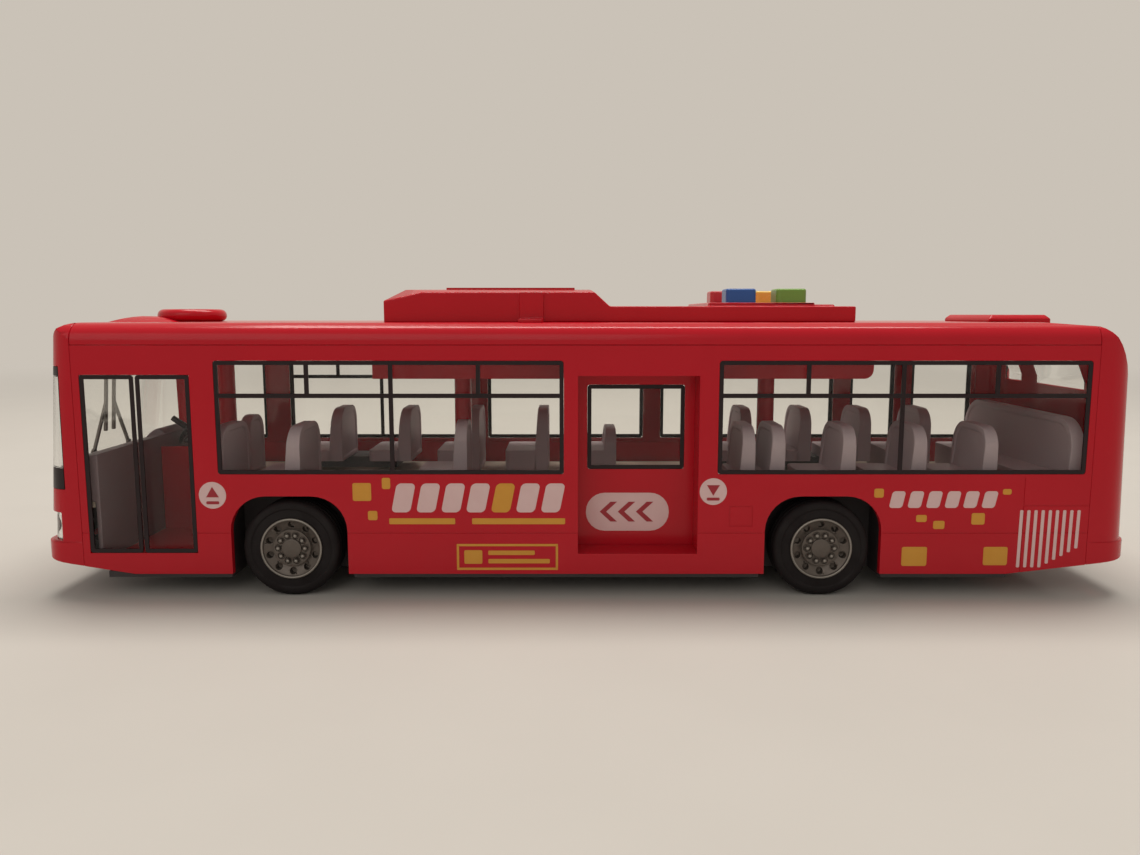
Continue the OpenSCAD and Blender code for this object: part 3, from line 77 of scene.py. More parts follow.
camera_data = bpy.data.cameras.new("camera")
camera_data.sensor_fit = "HORIZONTAL"
camera_data.sensor_width = SENSOR_MM
camera_data.lens = SENSOR_MM * FOCAL_PX / PHOTO_W_PX
camera_data.clip_start = NEAREST_M
camera_data.clip_end = FARTHEST_M
camera = bpy.data.objects.new("camera", camera_data)
camera.location = Vector(CAMERA_PLACE_MM) * MM
camera.rotation_euler = (math.pi / 2 - CAMERA_TILT, 0, 0)
bpy.context.scene.collection.objects.link(camera)
bpy.context.scene.camera = camera
bpy.context.scene.view_settings.view_transform = "Standard"

# Material tools: the values between which most of a noise lies, with fine detail and without
NOISE_LOW, NOISE_HIGH = 0.3, 0.7
RIPPLE_LOW, RIPPLE_HIGH = 0.35, 0.75
# Shares of the roughness at which a surface is glossiest and dullest
PLASTIC_GLOSS = (0.85, 1.2)
PANE_GLOSS = (1.0, 2.5)
METAL_GLOSS = (0.7, 1.3)
# A wave texture turns through this many radians per unit at a scale of 1
WAVE_RADIANS = 20


def linear(hex_code):
    """An sRGB hex value as a linear colour."""
    shares = [int(hex_code[i:i + 2], 16) / 255 for i in (1, 3, 5)]
    return [c / 12.92 if c <= 0.04045 else ((c + 0.055) / 1.055) ** 2.4 for c in shares] + [1.0]


def per_metre(size_mm):
    """Texture scale at which one feature is about this wide."""
    return 1 / (size_mm * MM)


def add(tree, kind, values=(), links=(), **settings):
    """Adds a node with its settings, socket values and links, each a node or a node and its output."""
    node = tree.nodes.new("ShaderNode" + kind)
    for key, value in settings.items():
        setattr(node, key, value)
    for key, value in dict(values).items():
        node.inputs[key].default_value = value
    for key, link in dict(links).items():
        source, output = link if isinstance(link, tuple) else (link, 0)
        tree.links.new(source.outputs[output], node.inputs[key])
    return node


def blank(name):
    """A new material with an empty tree."""
    material = bpy.data.materials.new(name)
    material.use_nodes = True
    material.node_tree.nodes.clear()
    return material, material.node_tree


def moulded(name, colour, shade, rough, ior=1.54, patch_mm=20.0, skin_mm=1.2, skin_um=2.0, metallic=0.0,
            sheen_level=0.5):
    """Solid plastic out of a mould: its colour drifts along the flow, and its skin isn't quite flat."""
    material, tree = blank(name)
    place = add(tree, "TexCoord")
    flow = add(tree, "TexNoise",
               {"Scale": per_metre(patch_mm), "Detail": 4.0, "Roughness": 0.6, "Distortion": 0.4},
               {"Vector": (place, "Object")})
    tint = add(tree, "Mix", {"A": linear(colour), "B": linear(shade)}, {"Factor": flow}, data_type="RGBA")
    gloss = add(tree, "MapRange",
                {"From Min": NOISE_LOW, "From Max": NOISE_HIGH,
                 "To Min": rough * PLASTIC_GLOSS[0], "To Max": rough * PLASTIC_GLOSS[1]},
                {"Value": flow})
    skin = add(tree, "TexNoise", {"Scale": per_metre(skin_mm), "Detail": 2.0, "Roughness": 0.5},
               {"Vector": (place, "Object")})
    relief = add(tree, "Bump", {"Strength": 1.0, "Distance": skin_um * UM}, {"Height": skin})
    surface = add(tree, "BsdfPrincipled",
                  {"IOR": ior, "Metallic": metallic, "Specular IOR Level": sheen_level},
                  {"Base Color": (tint, "Result"), "Roughness": gloss, "Normal": relief})
    add(tree, "OutputMaterial", links={"Surface": surface})
    return material


def see_through(name, colour, ior, rough, shadow, wave_mm, wave_um, rib_mm=0.0, rib_um=0.0,
                sheen_tint="#ffffff", clear=1.0):
    """Clear or tinted plastic. Lamps shine through it, so that what stands behind is lit."""
    material, tree = blank(name)
    place = add(tree, "TexCoord")
    wave = add(tree, "TexNoise", {"Scale": per_metre(wave_mm), "Detail": 1.0}, {"Vector": (place, "Object")})
    smear = add(tree, "MapRange",
                {"From Min": RIPPLE_LOW, "From Max": RIPPLE_HIGH,
                 "To Min": rough * PANE_GLOSS[0], "To Max": rough * PANE_GLOSS[1]},
                {"Value": wave})
    relief = add(tree, "Bump", {"Strength": 1.0, "Distance": wave_um * UM}, {"Height": wave})
    if rib_mm:
        ribs = add(tree, "TexWave", {"Scale": math.pi * per_metre(rib_mm) / WAVE_RADIANS, "Distortion": 0.0},
                   {"Vector": (place, "Object")}, bands_direction="Y")
        relief = add(tree, "Bump", {"Strength": 1.0, "Distance": rib_um * UM},
                     {"Height": (ribs, "Fac"), "Normal": relief})
    glass = add(tree, "BsdfPrincipled",
                {"Base Color": linear(colour), "IOR": ior, "Transmission Weight": clear,
                 "Specular Tint": linear(sheen_tint)},
                {"Roughness": smear, "Normal": relief})
    through = add(tree, "BsdfTransparent", {"Color": linear(shadow)})
    path = add(tree, "LightPath")
    lit = add(tree, "Math", links={0: (path, "Is Shadow Ray"), 1: (path, "Is Diffuse Ray")},
              operation="MAXIMUM")
    mix = add(tree, "MixShader", links={0: lit, 1: glass, 2: through})
    add(tree, "OutputMaterial", links={"Surface": mix})
    return material


def turned_metal(name, colour, rough, grain_mm, grain_um):
    """Bare metal with fine marks from its last working."""
    material, tree = blank(name)
    place = add(tree, "TexCoord")
    marks = add(tree, "TexNoise", {"Scale": per_metre(grain_mm), "Detail": 3.0},
                {"Vector": (place, "Object")})
    gloss = add(tree, "MapRange",
                {"From Min": NOISE_LOW, "From Max": NOISE_HIGH,
                 "To Min": rough * METAL_GLOSS[0], "To Max": rough * METAL_GLOSS[1]},
                {"Value": marks})
    relief = add(tree, "Bump", {"Strength": 1.0, "Distance": grain_um * UM}, {"Height": marks})
    surface = add(tree, "BsdfPrincipled", {"Base Color": linear(colour), "Metallic": 1.0},
                  {"Roughness": gloss, "Normal": relief})
    add(tree, "OutputMaterial", links={"Surface": surface})
    return material


# Glossy ABS out of a polished mould: deep even red with crisp, slightly wavy reflections
red_abs = moulded("ABS, moulded, polished red", "#c51225", "#b90f20", 0.18, skin_mm=3.0, skin_um=1.6,
                  sheen_level=0.22)
# Clear polystyrene: nearly colourless, with a faint ripple in what it mirrors
clear_styrene = see_through("Polystyrene, moulded, clear", "#f8f8f6", 1.59, 0.012, "#faf9f8",
                            wave_mm=9.0, wave_um=1.2, sheen_tint="#8a8a8a")
# Black foil stamped on the panes and frames: a dull sheen and hardly any thickness
stamped_black = moulded("Foil, hot stamped, black", "#1f1316", "#28191c", 0.36, ior=1.5,
                        patch_mm=8.0, skin_mm=0.6, skin_um=1.5, sheen_level=0.25)
# Polypropylene from a spark-eroded mould: matt black grain that greys where light grazes it
grained_black = moulded("Polypropylene, moulded, grained black", "#383233", "#413b3c", 0.55, ior=1.49,
                        patch_mm=15.0, skin_mm=0.5, skin_um=9.0)
# Soft PVC: dull black that scatters light and shows a little bloom
tyre_pvc = moulded("Soft PVC, moulded, black", "#110c0d", "#181112", 0.7, ior=1.53,
                   patch_mm=6.0, skin_mm=0.7, skin_um=6.0, sheen_level=0.25)
# ABS with aluminium flake: warm dark grey with a satin glint
flake_grey = moulded("ABS, moulded, grey with aluminium flake", "#554d47", "#655c55", 0.36,
                     patch_mm=1.0, skin_mm=0.5, skin_um=2.0, metallic=0.45)
# Matt polypropylene for the seats: brownish grey with soft broad highlights
seat_plastic = moulded("Polypropylene, moulded, matt grey", "#b4a2a6", "#bcaaad", 0.5, ior=1.49,
                       patch_mm=10.0, skin_mm=0.6, skin_um=5.0, sheen_level=0.3)
# Styrene for the cabin floor: pale beige with a fine tooth
floor_plastic = moulded("Styrene, moulded, matt beige", "#b9ad9d", "#ada191", 0.5, ior=1.57,
                        patch_mm=12.0, skin_mm=0.6, skin_um=5.0)
# ABS from a grained mould for the dashboard: warm grey that takes no sharp highlight
dash_plastic = moulded("ABS, moulded, grained dark grey", "#857377", "#8e7c7f", 0.5,
                       patch_mm=10.0, skin_mm=0.5, skin_um=7.0, sheen_level=0.3)
# Pad-printed white ink: the red shows through it a little
white_ink = moulded("Ink, pad printed, white over red", "#e3c3c0", "#dcb6b3", 0.42, ior=1.5,
                    patch_mm=5.0, skin_mm=0.4, skin_um=1.0)
# Pad-printed yellow ink: dense golden yellow with a low gloss
yellow_ink = moulded("Ink, pad printed, golden yellow", "#d99a2e", "#d08f28", 0.42, ior=1.5,
                     patch_mm=5.0, skin_mm=0.4, skin_um=1.0)
# Pad-printed red ink over the white: a little bluer and duller than the red of the body
red_ink = moulded("Ink, pad printed, deep red", "#a51a2a", "#9b1626", 0.42, ior=1.5,
                  patch_mm=5.0, skin_mm=0.4, skin_um=1.0)
# Silver on the nut tips and the rim's lip: painted highlights, bright dots and rings with a satin glint
silver_highlight_paint = moulded("Silver paint, painted highlights", "#8a857f", "#979189", 0.36, ior=1.5,
                       patch_mm=0.8, skin_mm=0.4, skin_um=1.5, metallic=0.6)
# Amber polystyrene for the bulbs: warm and glossy
amber_dome = moulded("Polystyrene, moulded, amber", "#d07a1c", "#c46f16", 0.2, ior=1.59,
                     patch_mm=2.0, skin_mm=0.8, skin_um=1.0)
# Die-cut styrene for the bare number plates: clean white with a low sheen
plate_white = moulded("Styrene sheet, die cut, white", "#dcd9d2", "#d4d0c8", 0.4, ior=1.59,
                      patch_mm=6.0, skin_mm=0.6, skin_um=1.5)
# Lamp lenses: ribbed, so that the reflector behind breaks into lines
lamp_lens = see_through("Polystyrene, moulded, ribbed clear", "#f4f4f2", 1.59, 0.02, "#e8e8e6",
                        wave_mm=5.0, wave_um=1.0, rib_mm=0.8, rib_um=40.0)
red_lens = see_through("Polystyrene, moulded, ribbed red", "#d8141c", 1.59, 0.06, "#d8484a",
                       wave_mm=5.0, wave_um=1.0, rib_mm=1.0, rib_um=50.0, clear=0.45)
# Metallised reflector: a bright mirror, slightly uneven
mirror_film = turned_metal("Aluminium film, vacuum coated", "#9c9a97", 0.2, grain_mm=1.0, grain_um=1.0)
# Drawn and plated steel: bright, with fine marks
plated_steel = turned_metal("Steel, zinc plated", "#b4b2ae", 0.3, grain_mm=0.4, grain_um=2.0)
# Acetal gears and housing: waxy white with a soft gloss
acetal_white = moulded("Acetal, moulded, natural white", "#dedbd2", "#d6d2c8", 0.4, ior=1.48,
                       patch_mm=8.0, skin_mm=0.8, skin_um=2.0)
# Cell label: printed film, dark green with a soft gloss
cell_film = moulded("Film, printed, shrunk on the cell", "#2f4a3c", "#273f33", 0.3, ior=1.5,
                    patch_mm=12.0, skin_mm=2.0, skin_um=2.0)
# Circuit board: glossy solder mask over the faint bumps of a glass weave
solder_mask = moulded("Glass epoxy, solder mask, green", "#1f5a34", "#18492a", 0.3, ior=1.5,
                      patch_mm=2.0, skin_mm=0.7, skin_um=4.0)
# Speaker cone: pressed black paper, dull and fibrous
speaker_paper = moulded("Paper, pressed, black", "#1b1a1a", "#262424", 0.75, ior=1.45,
                        patch_mm=1.5, skin_mm=0.5, skin_um=12.0)
# Silicone domes: milky and soft
silicone = moulded("Silicone rubber, moulded, milky", "#cfccc6", "#c5c1ba", 0.5, ior=1.41,
                   patch_mm=4.0, skin_mm=0.8, skin_um=3.0)
# Button caps: ABS in four bright colours, less polished than the body
button_looks = {
    "button_red": moulded("ABS, moulded, button red", "#c52a34", "#b8242e", 0.26, skin_mm=3.0),
    "button_yellow": moulded("ABS, moulded, button yellow", "#f7cc55", "#f0c24a", 0.26, skin_mm=3.0),
    "button_blue": moulded("ABS, moulded, button blue", "#1f5aa8", "#1b519b", 0.26, skin_mm=3.0),
    "button_green": moulded("ABS, moulded, button green", "#76a33a", "#6c9833", 0.26, skin_mm=3.0),
}

# CAD nodes: each keeps its shape and gets its finish and a small moulded edge
SHARP_ANGLE = math.radians(40)
WELD_MM = 0.002
NORMAL_WEIGHT = 80
BUTTON_EDGE_MM = 0.6


def soften_edges(piece, edge_mm, segments):
    """Rounds a piece's sharp edges by a modifier."""
    edge = piece.modifiers.new("edge", "BEVEL")
    edge.width = edge_mm * MM
    edge.segments = segments
    edge.limit_method = "ANGLE"
    edge.angle_limit = SHARP_ANGLE
    return edge


def even_shading(piece):
    """Weights the normals by area, so that flat faces look flat up to their edges."""
    shade = piece.modifiers.new("shade", "WEIGHTED_NORMAL")
    shade.keep_sharp = False
    shade.weight = NORMAL_WEIGHT


def finish_node(node, material, edge_mm):
    """Gives a CAD node its material and, by modifiers, the small edge radius of a moulding."""
    piece = NODES[node]
    piece.data.materials.clear()
    piece.data.materials.append(material)
    weld = piece.modifiers.new("weld", "WELD")
    weld.merge_threshold = WELD_MM * MM
    if edge_mm:
        edge = soften_edges(piece, edge_mm, 2)
        edge.use_clamp_overlap = False
        edge.miter_outer = "MITER_ARC"
    else:
        crisp = piece.modifiers.new("crisp", "EDGE_SPLIT")
        crisp.split_angle = SHARP_ANGLE
        crisp.use_edge_sharp = False
    even_shading(piece)


# Finish, edge radius in mm, and the nodes that have them
finishes = [
    (red_abs, 0.0, ("near_side_panel", "far_side_panel", "mid_door", "door_recess_frame", "roof_vent",
                    "battery_cover")),
    (red_abs, 0.1, ("module_tray",)),
    (red_abs, 0.2, ("roof_shell", "front_cap", "rear_cap")),
    (red_abs, 0.4, ("roof_hatch", "roof_pod")),
    (grained_black, 0.0, ("chassis_base",)),
    (clear_styrene, 0.1, ("near_front_window", "near_rear_window", "far_windows", "windscreen",
                          "rear_windows", "front_door", "mid_door_window")),
    (stamped_black, 0.0, ("near_window_bars", "far_window_bars", "mid_door_bars", "windscreen_bands")),
    (lamp_lens, 0.12, ("headlamp_lenses",)),
    (red_lens, 0.12, ("tail_lamp_lenses",)),
    (grained_black, 0.15, ("steering_wheel",)),
    (flake_grey, 0.15, ("wipers",)),
    (floor_plastic, 0.0, ("interior_deck",)),
    (dash_plastic, 0.4, ("dashboard",)),
    (seat_plastic, 0.4, ("near_seats", "far_seats", "rear_bench", "driver_seat")),
    (cell_film, 0.2, ("battery_cells",)),
    (solder_mask, 0.1, ("circuit_board",)),
    (speaker_paper, 0.2, ("speaker",)),
    (silicone, 0.15, ("dome_red", "dome_yellow", "dome_blue", "dome_green")),
    (plated_steel, 0.1, ("screws", "front_axle_shaft", "rear_axle_shaft", "flywheel")),
    (acetal_white, 0.1, ("motor_housing", "axle_gear", "idler_gear")),
    (flake_grey, 0.08, ("front_rim_near", "front_rim_far", "rear_rim_near", "rear_rim_far")),
    (tyre_pvc, 0.1, ("front_tyre_near", "front_tyre_far", "rear_tyre_near", "rear_tyre_far")),
]
finishes += [(look, BUTTON_EDGE_MM, (name,)) for name, look in button_looks.items()]
for material, edge_mm, names in finishes:
    for name in names:
        finish_node(name, material, edge_mm)


# Shape tools: outlines are lists of points in mm, and a placing matrix carries them to where they belong
def corner(cx, cy, radius, start, end, steps=6):
    """Points along a round corner, angles in degrees."""
    angles = [math.radians(start + (end - start) * i / steps) for i in range(steps + 1)]
    return [(cx + radius * math.cos(a), cy + radius * math.sin(a)) for a in angles]


def round_patch(x0, x1, z0, z1, radius):
    """A rectangle with round corners."""
    left, right = x0 + radius, x1 - radius
    low, high = z0 + radius, z1 - radius
    return (corner(right, high, radius, 0, 90) + corner(left, high, radius, 90, 180)
            + corner(left, low, radius, 180, 270) + corner(right, low, radius, 270, 360))


def leaning_patch(x0, x1, z0, z1, radius, lean):
    """A round patch whose top is pushed along by a lean."""
    return [(x + lean * (z - z0) / (z1 - z0), z) for x, z in round_patch(x0, x1, z0, z1, radius)]


def leaning_bars(start, pitch, width, z_limits, radius, lean, count):
    """A row of equal leaning patches."""
    starts = [start + i * pitch for i in range(count)]
    return [leaning_patch(x, x + width, *z_limits, radius, lean) for x in starts]


def triangle(x, z, size, way):
    """A plain triangle that points up or down."""
    foot = z - way * size / 3
    outline = [(x - size / 2, foot), (x + size / 2, foot), (x, z + way * size / 2)]
    return outline if way > 0 else outline[::-1]


def chevron(x, z, width, height, thick):
    """An angle bracket that points at the nose."""
    half = height / 2
    return [(x, z), (x + width, z - half), (x + width + thick, z - half), (x + thick, z),
            (x + width + thick, z + half), (x + width, z + half)]


def placed(origin_mm, right, up):
    """Matrix from a drawing's own axes, in mm, to the bus; the drawing looks out along right x up."""
    right, up = Vector(right).normalized(), Vector(up).normalized()
    turn = Matrix((right, up, right.cross(up))).transposed().to_4x4()
    return Matrix.Translation(Vector(origin_mm) * MM) @ turn @ Matrix.Scale(MM, 4)


def end_face(x, y=0.0, z=0.0):
    """Drawing that looks out at the nose or at the tail, whichever the station is nearer to."""
    return placed((x, y, z), (0, math.copysign(1, x), 0), (0, 0, 1))


def end_limits(x, out, y_limits):
    """Limits across an end face's drawing of what lies on one side of the bus."""
    way = math.copysign(out, x * out)
    return sorted(way * y for y in y_limits)


def join_rings(form, ring, after):
    """Adds the walls between two rings of points."""
    for i in range(len(ring)):
        j = (i + 1) % len(ring)
        form.faces.new((ring[i], ring[j], after[j], after[i]))


def raise_outline(form, outline, place, low_mm, high_mm):
    """Adds a prism over an outline, from one height over its drawing to another."""
    foot, top = [[form.verts.new(place @ Vector((u, v, h))) for u, v in outline] for h in (low_mm, high_mm)]
    join_rings(form, foot, top)
    form.faces.new(top)
    form.faces.new(foot[::-1])


def turned_rings(form, profile, place, steps):
    """Adds a ring of points about the drawing's outward axis for each (radius, height) of a profile."""
    turns = [2 * math.pi * k / steps for k in range(steps)]
    return [[form.verts.new(place @ Vector((r * math.cos(t), r * math.sin(t), h))) for t in turns]
            for r, h in profile]


def turn_profile(form, profile, place, steps=28):
    """Adds a turned shape with closed ends."""
    rings = turned_rings(form, profile, place, steps)
    for ring, after in zip(rings, rings[1:]):
        join_rings(form, ring, after)
    form.faces.new(rings[-1])
    form.faces.new(rings[0][::-1])


def make_piece(name, form, material, body, edge_mm=0.0, stands_for=None):
    """Turns a form into a piece of the bus that rides on a body."""
    bmesh.ops.recalc_face_normals(form, faces=form.faces)
    mesh = bpy.data.meshes.new(name)
    form.to_mesh(mesh)
    form.free()
    mesh.materials.append(material)
    piece = bpy.data.objects.new(name, mesh)
    bpy.context.scene.collection.objects.link(piece)
    for polygon in mesh.polygons:
        polygon.use_smooth = True
    if edge_mm:
        soften_edges(piece, edge_mm, 3)
    even_shading(piece)
    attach(piece, body)
    if stands_for:
        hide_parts(stands_for)
    return piece


# Seats: each stands where its solid does, with a round-shouldered back and a soft-edged cushion
DECK_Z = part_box("interior_deck")[1][2] / MM
WELL_TOP_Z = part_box("chassis_base")[1][2] / MM
SEAT_TOP_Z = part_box("near_seats")[1][2] / MM
ROW_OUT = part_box("far_seats")[1][1] / MM
ROW_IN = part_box("far_seats")[0][1] / MM
AXLES_X = (-79.3, 62.7)
WELL_REACH = 26.7
CUSHION_LEN = 9.0
CUSHION_H = 7.0
CUSHION_R = 1.6
BACK_T = 4.6
BACK_RAKE = 1.4
SHOULDER_R = 5.6
SHOULDER_STEPS = 8
BENCH_SHOULDER_R = 8.5
PANEL_RIM_MM = 1.5
PANEL_SLOPE_MM = 0.4
PANEL_SUNK_MM = 0.35
SEAT_EDGE_MM = 0.6
FRONT_SEAT_X, FRONT_SEAT_PITCH, FRONT_SEATS = -81.3, 21.7, 5
REAR_SEAT_X, REAR_SEAT_PITCH, REAR_SEATS = 48.3, 18.9, 4
TRACK_SEAT_Y = (-21.65, -8.5)
FOLD_SEAT_DROP = 6.5
SCREEN_AHEAD = 22.4


def seat_foot(x):
    """Height on which a seat at a station stands: a wheel well's top, or the floor."""
    return WELL_TOP_Z if min(abs(x - axle) for axle in AXLES_X) < WELL_REACH else DECK_Z


def add_back(form, x, y0, y1, foot, top, shoulder):
    """Adds a seat back with round shoulders, raked at the front, with a sunk panel on both faces."""
    outline = [(y0, foot), (y1, foot)]
    outline += corner(y1 - shoulder, top - shoulder, shoulder, 0, 90, SHOULDER_STEPS)
    outline += corner(y0 + shoulder, top - shoulder, shoulder, 90, 180, SHOULDER_STEPS)
    raked = [(x + BACK_RAKE * (z - foot) / (top - foot), y, z) for y, z in outline]
    upright = [(x + BACK_T, y, z) for y, z in outline]
    loops = [[form.verts.new(Vector(point) * MM) for point in points] for points in (raked, upright)]
    faces = [form.faces.new(loop) for loop in loops]
    join_rings(form, *loops)
    bmesh.ops.recalc_face_normals(form, faces=form.faces)
    bmesh.ops.inset_individual(form, faces=faces, thickness=PANEL_RIM_MM * MM, depth=0)
    bmesh.ops.inset_individual(form, faces=faces, thickness=PANEL_SLOPE_MM * MM, depth=-PANEL_SUNK_MM * MM)


def add_cushion(form, x, y0, y1, foot, length):
    """Adds a cushion block with round corners in front of a back."""
    plan = placed((0, 0, 0), (1, 0, 0), (0, 1, 0))
    outline = round_patch(x - length, x + BACK_T / 2, y0, y1, CUSHION_R)
    raise_outline(form, outline, plan, foot, DECK_Z + CUSHION_H)


def seat_row(name, node, seats):
    """Makes one piece of seats: station, side limits, foot, top, cushion length and shoulder of each."""
    form = bmesh.new()
    for x, y0, y1, foot, top, length, shoulder in seats:
        add_back(form, x, y0, y1, foot, top, shoulder)
        if length:
            add_cushion(form, x, y0, y1, foot, length)
    return make_piece(name, form, seat_plastic, "bus_body", SEAT_EDGE_MM, node)


def plain_seat(x, y0, y1, top=SEAT_TOP_Z):
    """A passenger's seat at a station, on whatever is under it."""
    return x, y0, y1, seat_foot(x), top, CUSHION_LEN, SHOULDER_R


def wide_seat(low, high, shoulder):
    """A seat on the floor as wide and as high as a solid, which its corners give in metres."""
    return high[0] / MM - BACK_T, low[1] / MM, high[1] / MM, DECK_Z, high[2] / MM, CUSHION_LEN, shoulder


front_seats_x = [FRONT_SEAT_X + i * FRONT_SEAT_PITCH for i in range(FRONT_SEATS)]
rear_seats_x = [REAR_SEAT_X + i * REAR_SEAT_PITCH for i in range(REAR_SEATS)]
screens_x = [axle - SCREEN_AHEAD for axle in AXLES_X]
far_row = [plain_seat(x, ROW_IN, ROW_OUT) for x in front_seats_x[:-1] + rear_seats_x]
far_row.append(plain_seat(front_seats_x[-1], ROW_IN, ROW_OUT, SEAT_TOP_Z - FOLD_SEAT_DROP))
near_row = [plain_seat(front_seats_x[0], -ROW_OUT, -ROW_IN), plain_seat(front_seats_x[2], *TRACK_SEAT_Y)]
near_row += [plain_seat(x, -ROW_OUT, -ROW_IN) for x in rear_seats_x]
near_row += [(x, -ROW_OUT, -ROW_IN, DECK_Z, SEAT_TOP_Z, 0, SHOULDER_R) for x in screens_x]
seat_row("far_seat_row", "far_seats", far_row)
seat_row("near_seat_row", "near_seats", near_row)
seat_row("driver_chair", "driver_seat", [wide_seat(*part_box("driver_seat"), SHOULDER_R)])
seat_row("rear_bench_seat", "rear_bench", [wide_seat(*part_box("rear_bench"), BENCH_SHOULDER_R)])

# Printed marks: thin layers of ink on the side panels and on the sliding door
INK_MM = 0.05
SUNK_MM = -0.03
side_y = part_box("near_side_panel")[0][1] / MM
door_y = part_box("mid_door")[0][1] / MM
near_face = placed((0, side_y, 0), (1, 0, 0), (0, 0, 1))
door_face = placed((0, door_y, 0), (1, 0, 0), (0, 0, 1))
far_face = placed((0, -side_y, 0), (-1, 0, 0), (0, 0, 1))

# Patches as x from and to, z from and to, and then the corner radius of each kind
SQUARES = (
    (-62.1, -57.2, 26.3, 31.1), (-54.3, -52.1, 29.5, 32.5), (-58.2, -55.7, 21.1, 23.6),
    (75.9, 78.4, 27.2, 29.6), (109.9, 112.2, 28.0, 29.5), (87.3, 90.1, 20.6, 22.5),
    (91.9, 94.9, 18.7, 20.9), (102.0, 105.5, 19.9, 23.0), (83.9, 90.6, 8.6, 13.8),
    (105.7, 112.1, 8.8, 13.8),
)
UNDERLINES = ((-52.6, -35.1, 20.0, 21.6), (-30.6, -5.9, 20.0, 21.6))
PANEL_FRAME = (
    (-34.8, -7.8, 7.5, 8.1), (-34.8, -7.8, 14.0, 14.6), (-34.8, -34.2, 8.0, 14.1), (-8.4, -7.8, 8.0, 14.1),
)
PANEL_SQUARE = ((-32.8, -28.0, 9.2, 12.9),)
PANEL_LINES = ((-26.4, -10.0, 9.3, 10.5), (-26.4, -14.0, 11.6, 12.8))
YELLOW_PATCHES = (
    (0.5, SQUARES), (0.3, UNDERLINES), (0.2, PANEL_FRAME), (0.4, PANEL_SQUARE), (0.3, PANEL_LINES),
)
yellow_marks = [round_patch(*patch, radius) for radius, patches in YELLOW_PATCHES for patch in patches]

# Leaning bars: a row under the front window, in which one is yellow, and a smaller row behind the rear wheel
YELLOW_BAR = 4
front_bars = leaning_bars(start=-52.0, pitch=6.6, width=5.0, z_limits=(23.2, 31.0), radius=1.2, lean=1.6,
                          count=7)
rear_bars = leaning_bars(start=79.9, pitch=4.9, width=3.5, z_limits=(24.4, 28.9), radius=0.8, lean=0.9,
                         count=6)
yellow_marks.append(front_bars.pop(YELLOW_BAR))
white_marks = front_bars + rear_bars

# Louvre stripes: their feet rise with the skirt behind the first few
LOUVRES, LEVEL_LOUVRES = 9, 4
LOUVRE_X, LOUVRE_PITCH, LOUVRE_W = 114.6, 1.9, 0.85
LOUVRE_FOOT_Z, LOUVRE_FOOT_RISE, LOUVRE_TOP_Z = 8.2, 1.04, 23.8
LOUVRE_R, LOUVRE_LEAN = 0.3, 0.2
for i in range(LOUVRES):
    louvre_x = LOUVRE_X + i * LOUVRE_PITCH
    louvre_foot = LOUVRE_FOOT_Z + LOUVRE_FOOT_RISE * max(0, i + 1 - LEVEL_LOUVRES)
    white_marks.append(leaning_patch(louvre_x, louvre_x + LOUVRE_W, louvre_foot, LOUVRE_TOP_Z,
                                     LOUVRE_R, LOUVRE_LEAN))

# Discs: x, z and which way the arrow points, with a bar under each arrow
DISCS = ((-99.2, 27.8, 1), (33.3, 28.8, -1))
DISC_R, DISC_POINTS = 3.6, 36
ARROW_RISE, ARROW_SIZE = 0.6, 3.4
BAR_HALF, BAR_LOW, BAR_HIGH, BAR_R = 1.7, 2.4, 1.6, 0.3
disc_marks = [corner(x, z, DISC_R, 0, 360 - 360 / DISC_POINTS, DISC_POINTS - 1) for x, z, _ in DISCS]
red_marks = [triangle(x, z + ARROW_RISE, ARROW_SIZE, way) for x, z, way in DISCS]
red_marks += [round_patch(x - BAR_HALF, x + BAR_HALF, z - BAR_LOW, z - BAR_HIGH, BAR_R) for x, z, _ in DISCS]

# The sliding door's pill, with chevrons that point the way it slides
PILL, PILL_R = (-0.2, 22.7, 15.8, 26.5), 5.2
CHEVRONS, CHEVRON_X, CHEVRON_PITCH, CHEVRON_Z = 3, 3.6, 5.0, 21.2
CHEVRON_W, CHEVRON_H, CHEVRON_T = 3.0, 5.6, 1.8
pill_mark = [round_patch(*PILL, PILL_R)]
chevron_marks = [chevron(CHEVRON_X + i * CHEVRON_PITCH, CHEVRON_Z, CHEVRON_W, CHEVRON_H, CHEVRON_T)
                 for i in range(CHEVRONS)]


def print_marks(name, outlines, place, ink, body, layer=1):
    """Prints one colour: each mark is a film of ink over the face that carries it."""
    form = bmesh.new()
    for outline in outlines:
        raise_outline(form, outline, place, SUNK_MM, INK_MM * layer)
    return make_piece(name, form, ink, body)


def seen_from_far_side(outlines):
    """The same marks for the far panel, at the same stations."""
    return [[(-x, z) for x, z in reversed(outline)] for outline in outlines]


print_marks("near_yellow_print", yellow_marks, near_face, yellow_ink, "bus_body")
print_marks("near_white_print", white_marks + disc_marks, near_face, white_ink, "bus_body")
print_marks("near_arrow_print", red_marks, near_face, red_ink, "bus_body", 2)
print_marks("door_pill_print", pill_mark, door_face, white_ink, "sliding_door")
print_marks("door_chevron_print", chevron_marks, door_face, red_ink, "sliding_door", 2)
print_marks("far_yellow_print", seen_from_far_side(yellow_marks), far_face, yellow_ink, "bus_body")
print_marks("far_white_print", seen_from_far_side(white_marks), far_face, white_ink, "bus_body")
